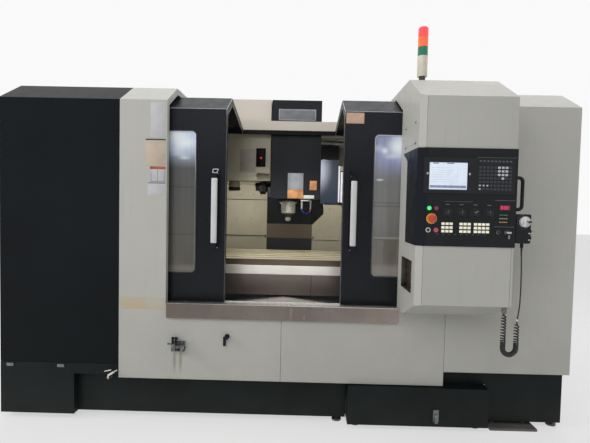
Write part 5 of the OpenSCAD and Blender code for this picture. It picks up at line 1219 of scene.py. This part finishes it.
for x in (-1840, -1500):
    soft_block(bm, (x, -6, 352), (x + 46, 0, 372), 1.5)
    turned(bm, disc(5, 3.4, 1), (x + 23, -6, 362), "-Y", 18)
dull_zinc = finish("dull_zinc", (0.16, 0.18, 0.18), 0.45, metal=0.5, clouds=(26.0, 0.25))
piece("latches", bm, *BRIGHT, dull_zinc)
print("fittings ready")

# %% [markdown]
# ## Pendant
# The pendant is a black moulded case with a ribbed strain relief. Its wheel is ground steel with a dial of
# fine ticks and a black crank. Wheel and crank are outlines spun round the wheel's own axis, so the light
# runs round them as on turned metal. The ticks are a loop of thin rods, which stay sharp however near the
# camera is.

# %% Pendant wheel, crank and dial
WHEEL = (1353, -380.3, 1398)
CRANK_R, DIAL_R = 20.5, 39
wheel_steel = finish("wheel_steel", (0.62, 0.62, 0.63), 0.28, metal=0.85, clouds=(38.0, 0.3),
                     grain=(300, 0.0002), rough_play=0.12)
RIM = [(0, 0.2), (29.4, 0.2), (30.4, 1.4), (30.4, 5), (29, 6), (29, 10), (30.4, 11), (30.4, 14.6), (29.4, 16),
       (26, 16), (24.6, 12), (12, 10.6), (11, 14.4), (9.4, 15), (0, 15)]
wheel = rounds("wheel_rim", "pendant_wheel", "bright", wheel_steel, RIM, [WHEEL], "-Y", 56)
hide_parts("pendant_wheel")
rounds("wheel_crank", "pendant_wheel", "black_plastic", panel_black,
       [(0, 11), (3.4, 11), (3.4, 17), (5, 19), (5.6, 24), (4.8, 33), (5.2, 36), (3.4, 37.8), (0, 38)],
       [(WHEEL[0] + CRANK_R, *WHEEL[1:])], "-Y", 24)
bm = bmesh.new()
for z in (1308, 1345):
    turned(bm, [(0, 11.6), (5.4, 11.6), (5.4, 12.6), (4.4, 13.2), (0, 13.3)], (1400, -356, z), "+X", 16)
    rod(bm, (1383, -381.4, z - 12), (1383, -380.2, z - 12), 4, 12)
piece("pendant_dots", bm, *WHITE, white_plastic)
bm = bmesh.new()
for i in range(50):
    a = 2 * math.pi * i / 50
    long = 3.4 if i % 5 == 0 else 1.8
    (x0, z0), (x1, z1) = (polar(WHEEL[::2], r, a) for r in (DIAL_R - long, DIAL_R))
    rod(bm, (x0, -380.35, z0), (x1, -380.35, z1), 0.35, 4)
piece("pendant_dial", bm, *WHITE, legend)
print("wheel ready")

# %% Strain reliefs and the lead's tie
bm = bmesh.new()
RELIEF = [(3.4, 0), (6, 0)]
for i in range(6):
    z = -3 - 7 * i
    r = 6 - 0.36 * i
    RELIEF += [(r, z), (r - 0.9, z - 0.6), (r - 0.9, z - 3), (r - 0.15, z - 3.6)]
RELIEF += [(3.6, -46), (3.4, -46), (3.4, 0)]
turned(bm, [(x, h + 1249) for x, h in RELIEF], (1357, LEAD_Y, 0), "+Z", 24)
turned(bm, [(3.4, 858), (4.6, 858), (6.4, 866), (9, 871.6), (3.4, 871.6), (3.4, 858)], (1273, LEAD_Y, 0),
       "+Z", 20)
piece("lead_reliefs", bm, "machine", "lead", rubber)
rounds("lead_tie", *WHITE, white_plastic, [(3.3, 0), (5.2, 0), (5.8, 1.4), (5.8, 11), (5.2, 12), (3.3, 12),
                                           (3.3, 0)], [(1348.6, LEAD_Y, 826)], "+Z", 20)
print("pendant ready")

# %% [markdown]
# ## Feet
# Each levelling pad carries a stud with a hexagon nut that locks the height. An outline spun in six steps
# instead of forty is a hexagon, so the nut needs no shape of its own.

# %% Lock nuts on the feet
FOOT_X, FOOT_Y = (-435, 395), [250 + i * 753.3 for i in range(4)]
rounds("lock_nuts", *BRIGHT, zinc, [(0, 25.4), (26, 25.4), (26, 42), (24, 44), (0, 44)],
       [(x, y, 0) for x in FOOT_X for y in FOOT_Y], "+Z", 6)
print("feet ready")

# %% [markdown]
# ## Floor and light
# A plain pale floor and a pale surround keep the eye on the machine. Large soft lamps stand in front, above
# and at both sides. Three small warm ones do the work of the machine's own lamps: two light the inner walls
# and one the table. The floor and the surround look brighter to the camera than the light they give.

# %% Floor
floor_mesh = bpy.data.meshes.new("studio_floor")
bm = bmesh.new()
bmesh.ops.create_grid(bm, x_segments=1, y_segments=1, size=22)
bm.to_mesh(floor_mesh)
bm.free()
studio_floor = bpy.data.objects.new("studio_floor", floor_mesh)
bpy.context.scene.collection.objects.link(studio_floor)
floor_paint = finish("studio_floor_paint", (0.7, 0.7, 0.69), 0.7, clouds=(0.8, 0.02), shine=0.2)
seen_by = node(floor_paint, "ShaderNodeLightPath").outputs
pale = times(floor_paint, maths(floor_paint, "MAXIMUM", seen_by["Is Camera Ray"], seen_by["Is Glossy Ray"]),
             0.58)
lay_over(floor_paint, seen_by["Is Camera Ray"], (0.22, 0.22, 0.218))
link(floor_paint, pale, SHADER[floor_paint.name]["bsdf"].inputs["Emission Strength"])
floor_mesh.materials.append(floor_paint)
print("floor ready")


# %% Soft lamps
def soft_lamp(name, place, target, size, watts, colour=(1, 1, 1), spread=180):
    """A large lamp that points at a target and is itself unseen."""
    data = bpy.data.lights.new(name, "AREA")
    data.shape = "RECTANGLE"
    data.size, data.size_y = size
    data.energy = watts
    data.color = colour
    data.spread = math.radians(spread)
    lamp = bpy.data.objects.new(name, data)
    bpy.context.scene.collection.objects.link(lamp)
    lamp.visible_camera = False
    lamp.visible_glossy = False
    turn = (place - target).to_track_quat("Z", "Y").to_matrix().to_4x4()
    lamp.matrix_world = Matrix.Translation(place) @ turn


WARM = (1, 0.96, 0.85)
for name, place, target, size, watts in (
        ("front_soft_lamp", (-1.5, -6.0, 4.6), (0, -0.5, 1.2), (5.0, 3.0), 133),
        ("top_soft_lamp", (0.5, 0.5, 6.0), (0, 0, 1), (6.0, 5.0), 215),
        ("left_soft_lamp", (-6.5, -2.6, 3.2), (0, -0.8, 1.2), (3.0, 2.4), 212),
        ("right_soft_lamp", (6.5, -2.6, 3.2), (0, -0.8, 1.2), (3.0, 2.4), 62)):
    soft_lamp(name, Vector(place), Vector(target), size, watts)
soft_lamp("wall_lamp_left", at(-440, 1380, 1650), at(-460, 1905, 1050), (0.5, 0.3), 6.8, WARM)
soft_lamp("wall_lamp_right", at(400, 1300, 1850), at(420, 1905, 1150), (0.25, 0.3), 4.6, WARM)
soft_lamp("table_lamp", at(-20, 600, 2080), at(-20, 760, 1039), (0.7, 0.25), 7.8, WARM, 75)

# %% Pale surround
world = bpy.data.worlds.new("pale_surround")
bpy.context.scene.world = world
world.use_nodes = True
background = world.node_tree.nodes["Background"]
seen_by = node(world, "ShaderNodeLightPath").outputs
direct = maths(world, "MAXIMUM", seen_by["Is Camera Ray"], seen_by["Is Glossy Ray"])
direct = maths(world, "MAXIMUM", direct, seen_by["Is Transmission Ray"])
link(world, ramp(world, direct, 0.0, 1.0, 0.32, 0.95), background.inputs["Strength"])
background.inputs["Color"].default_value = (1, 1, 1, 1)
bpy.context.scene.view_settings.view_transform = "Standard"
print("light ready")
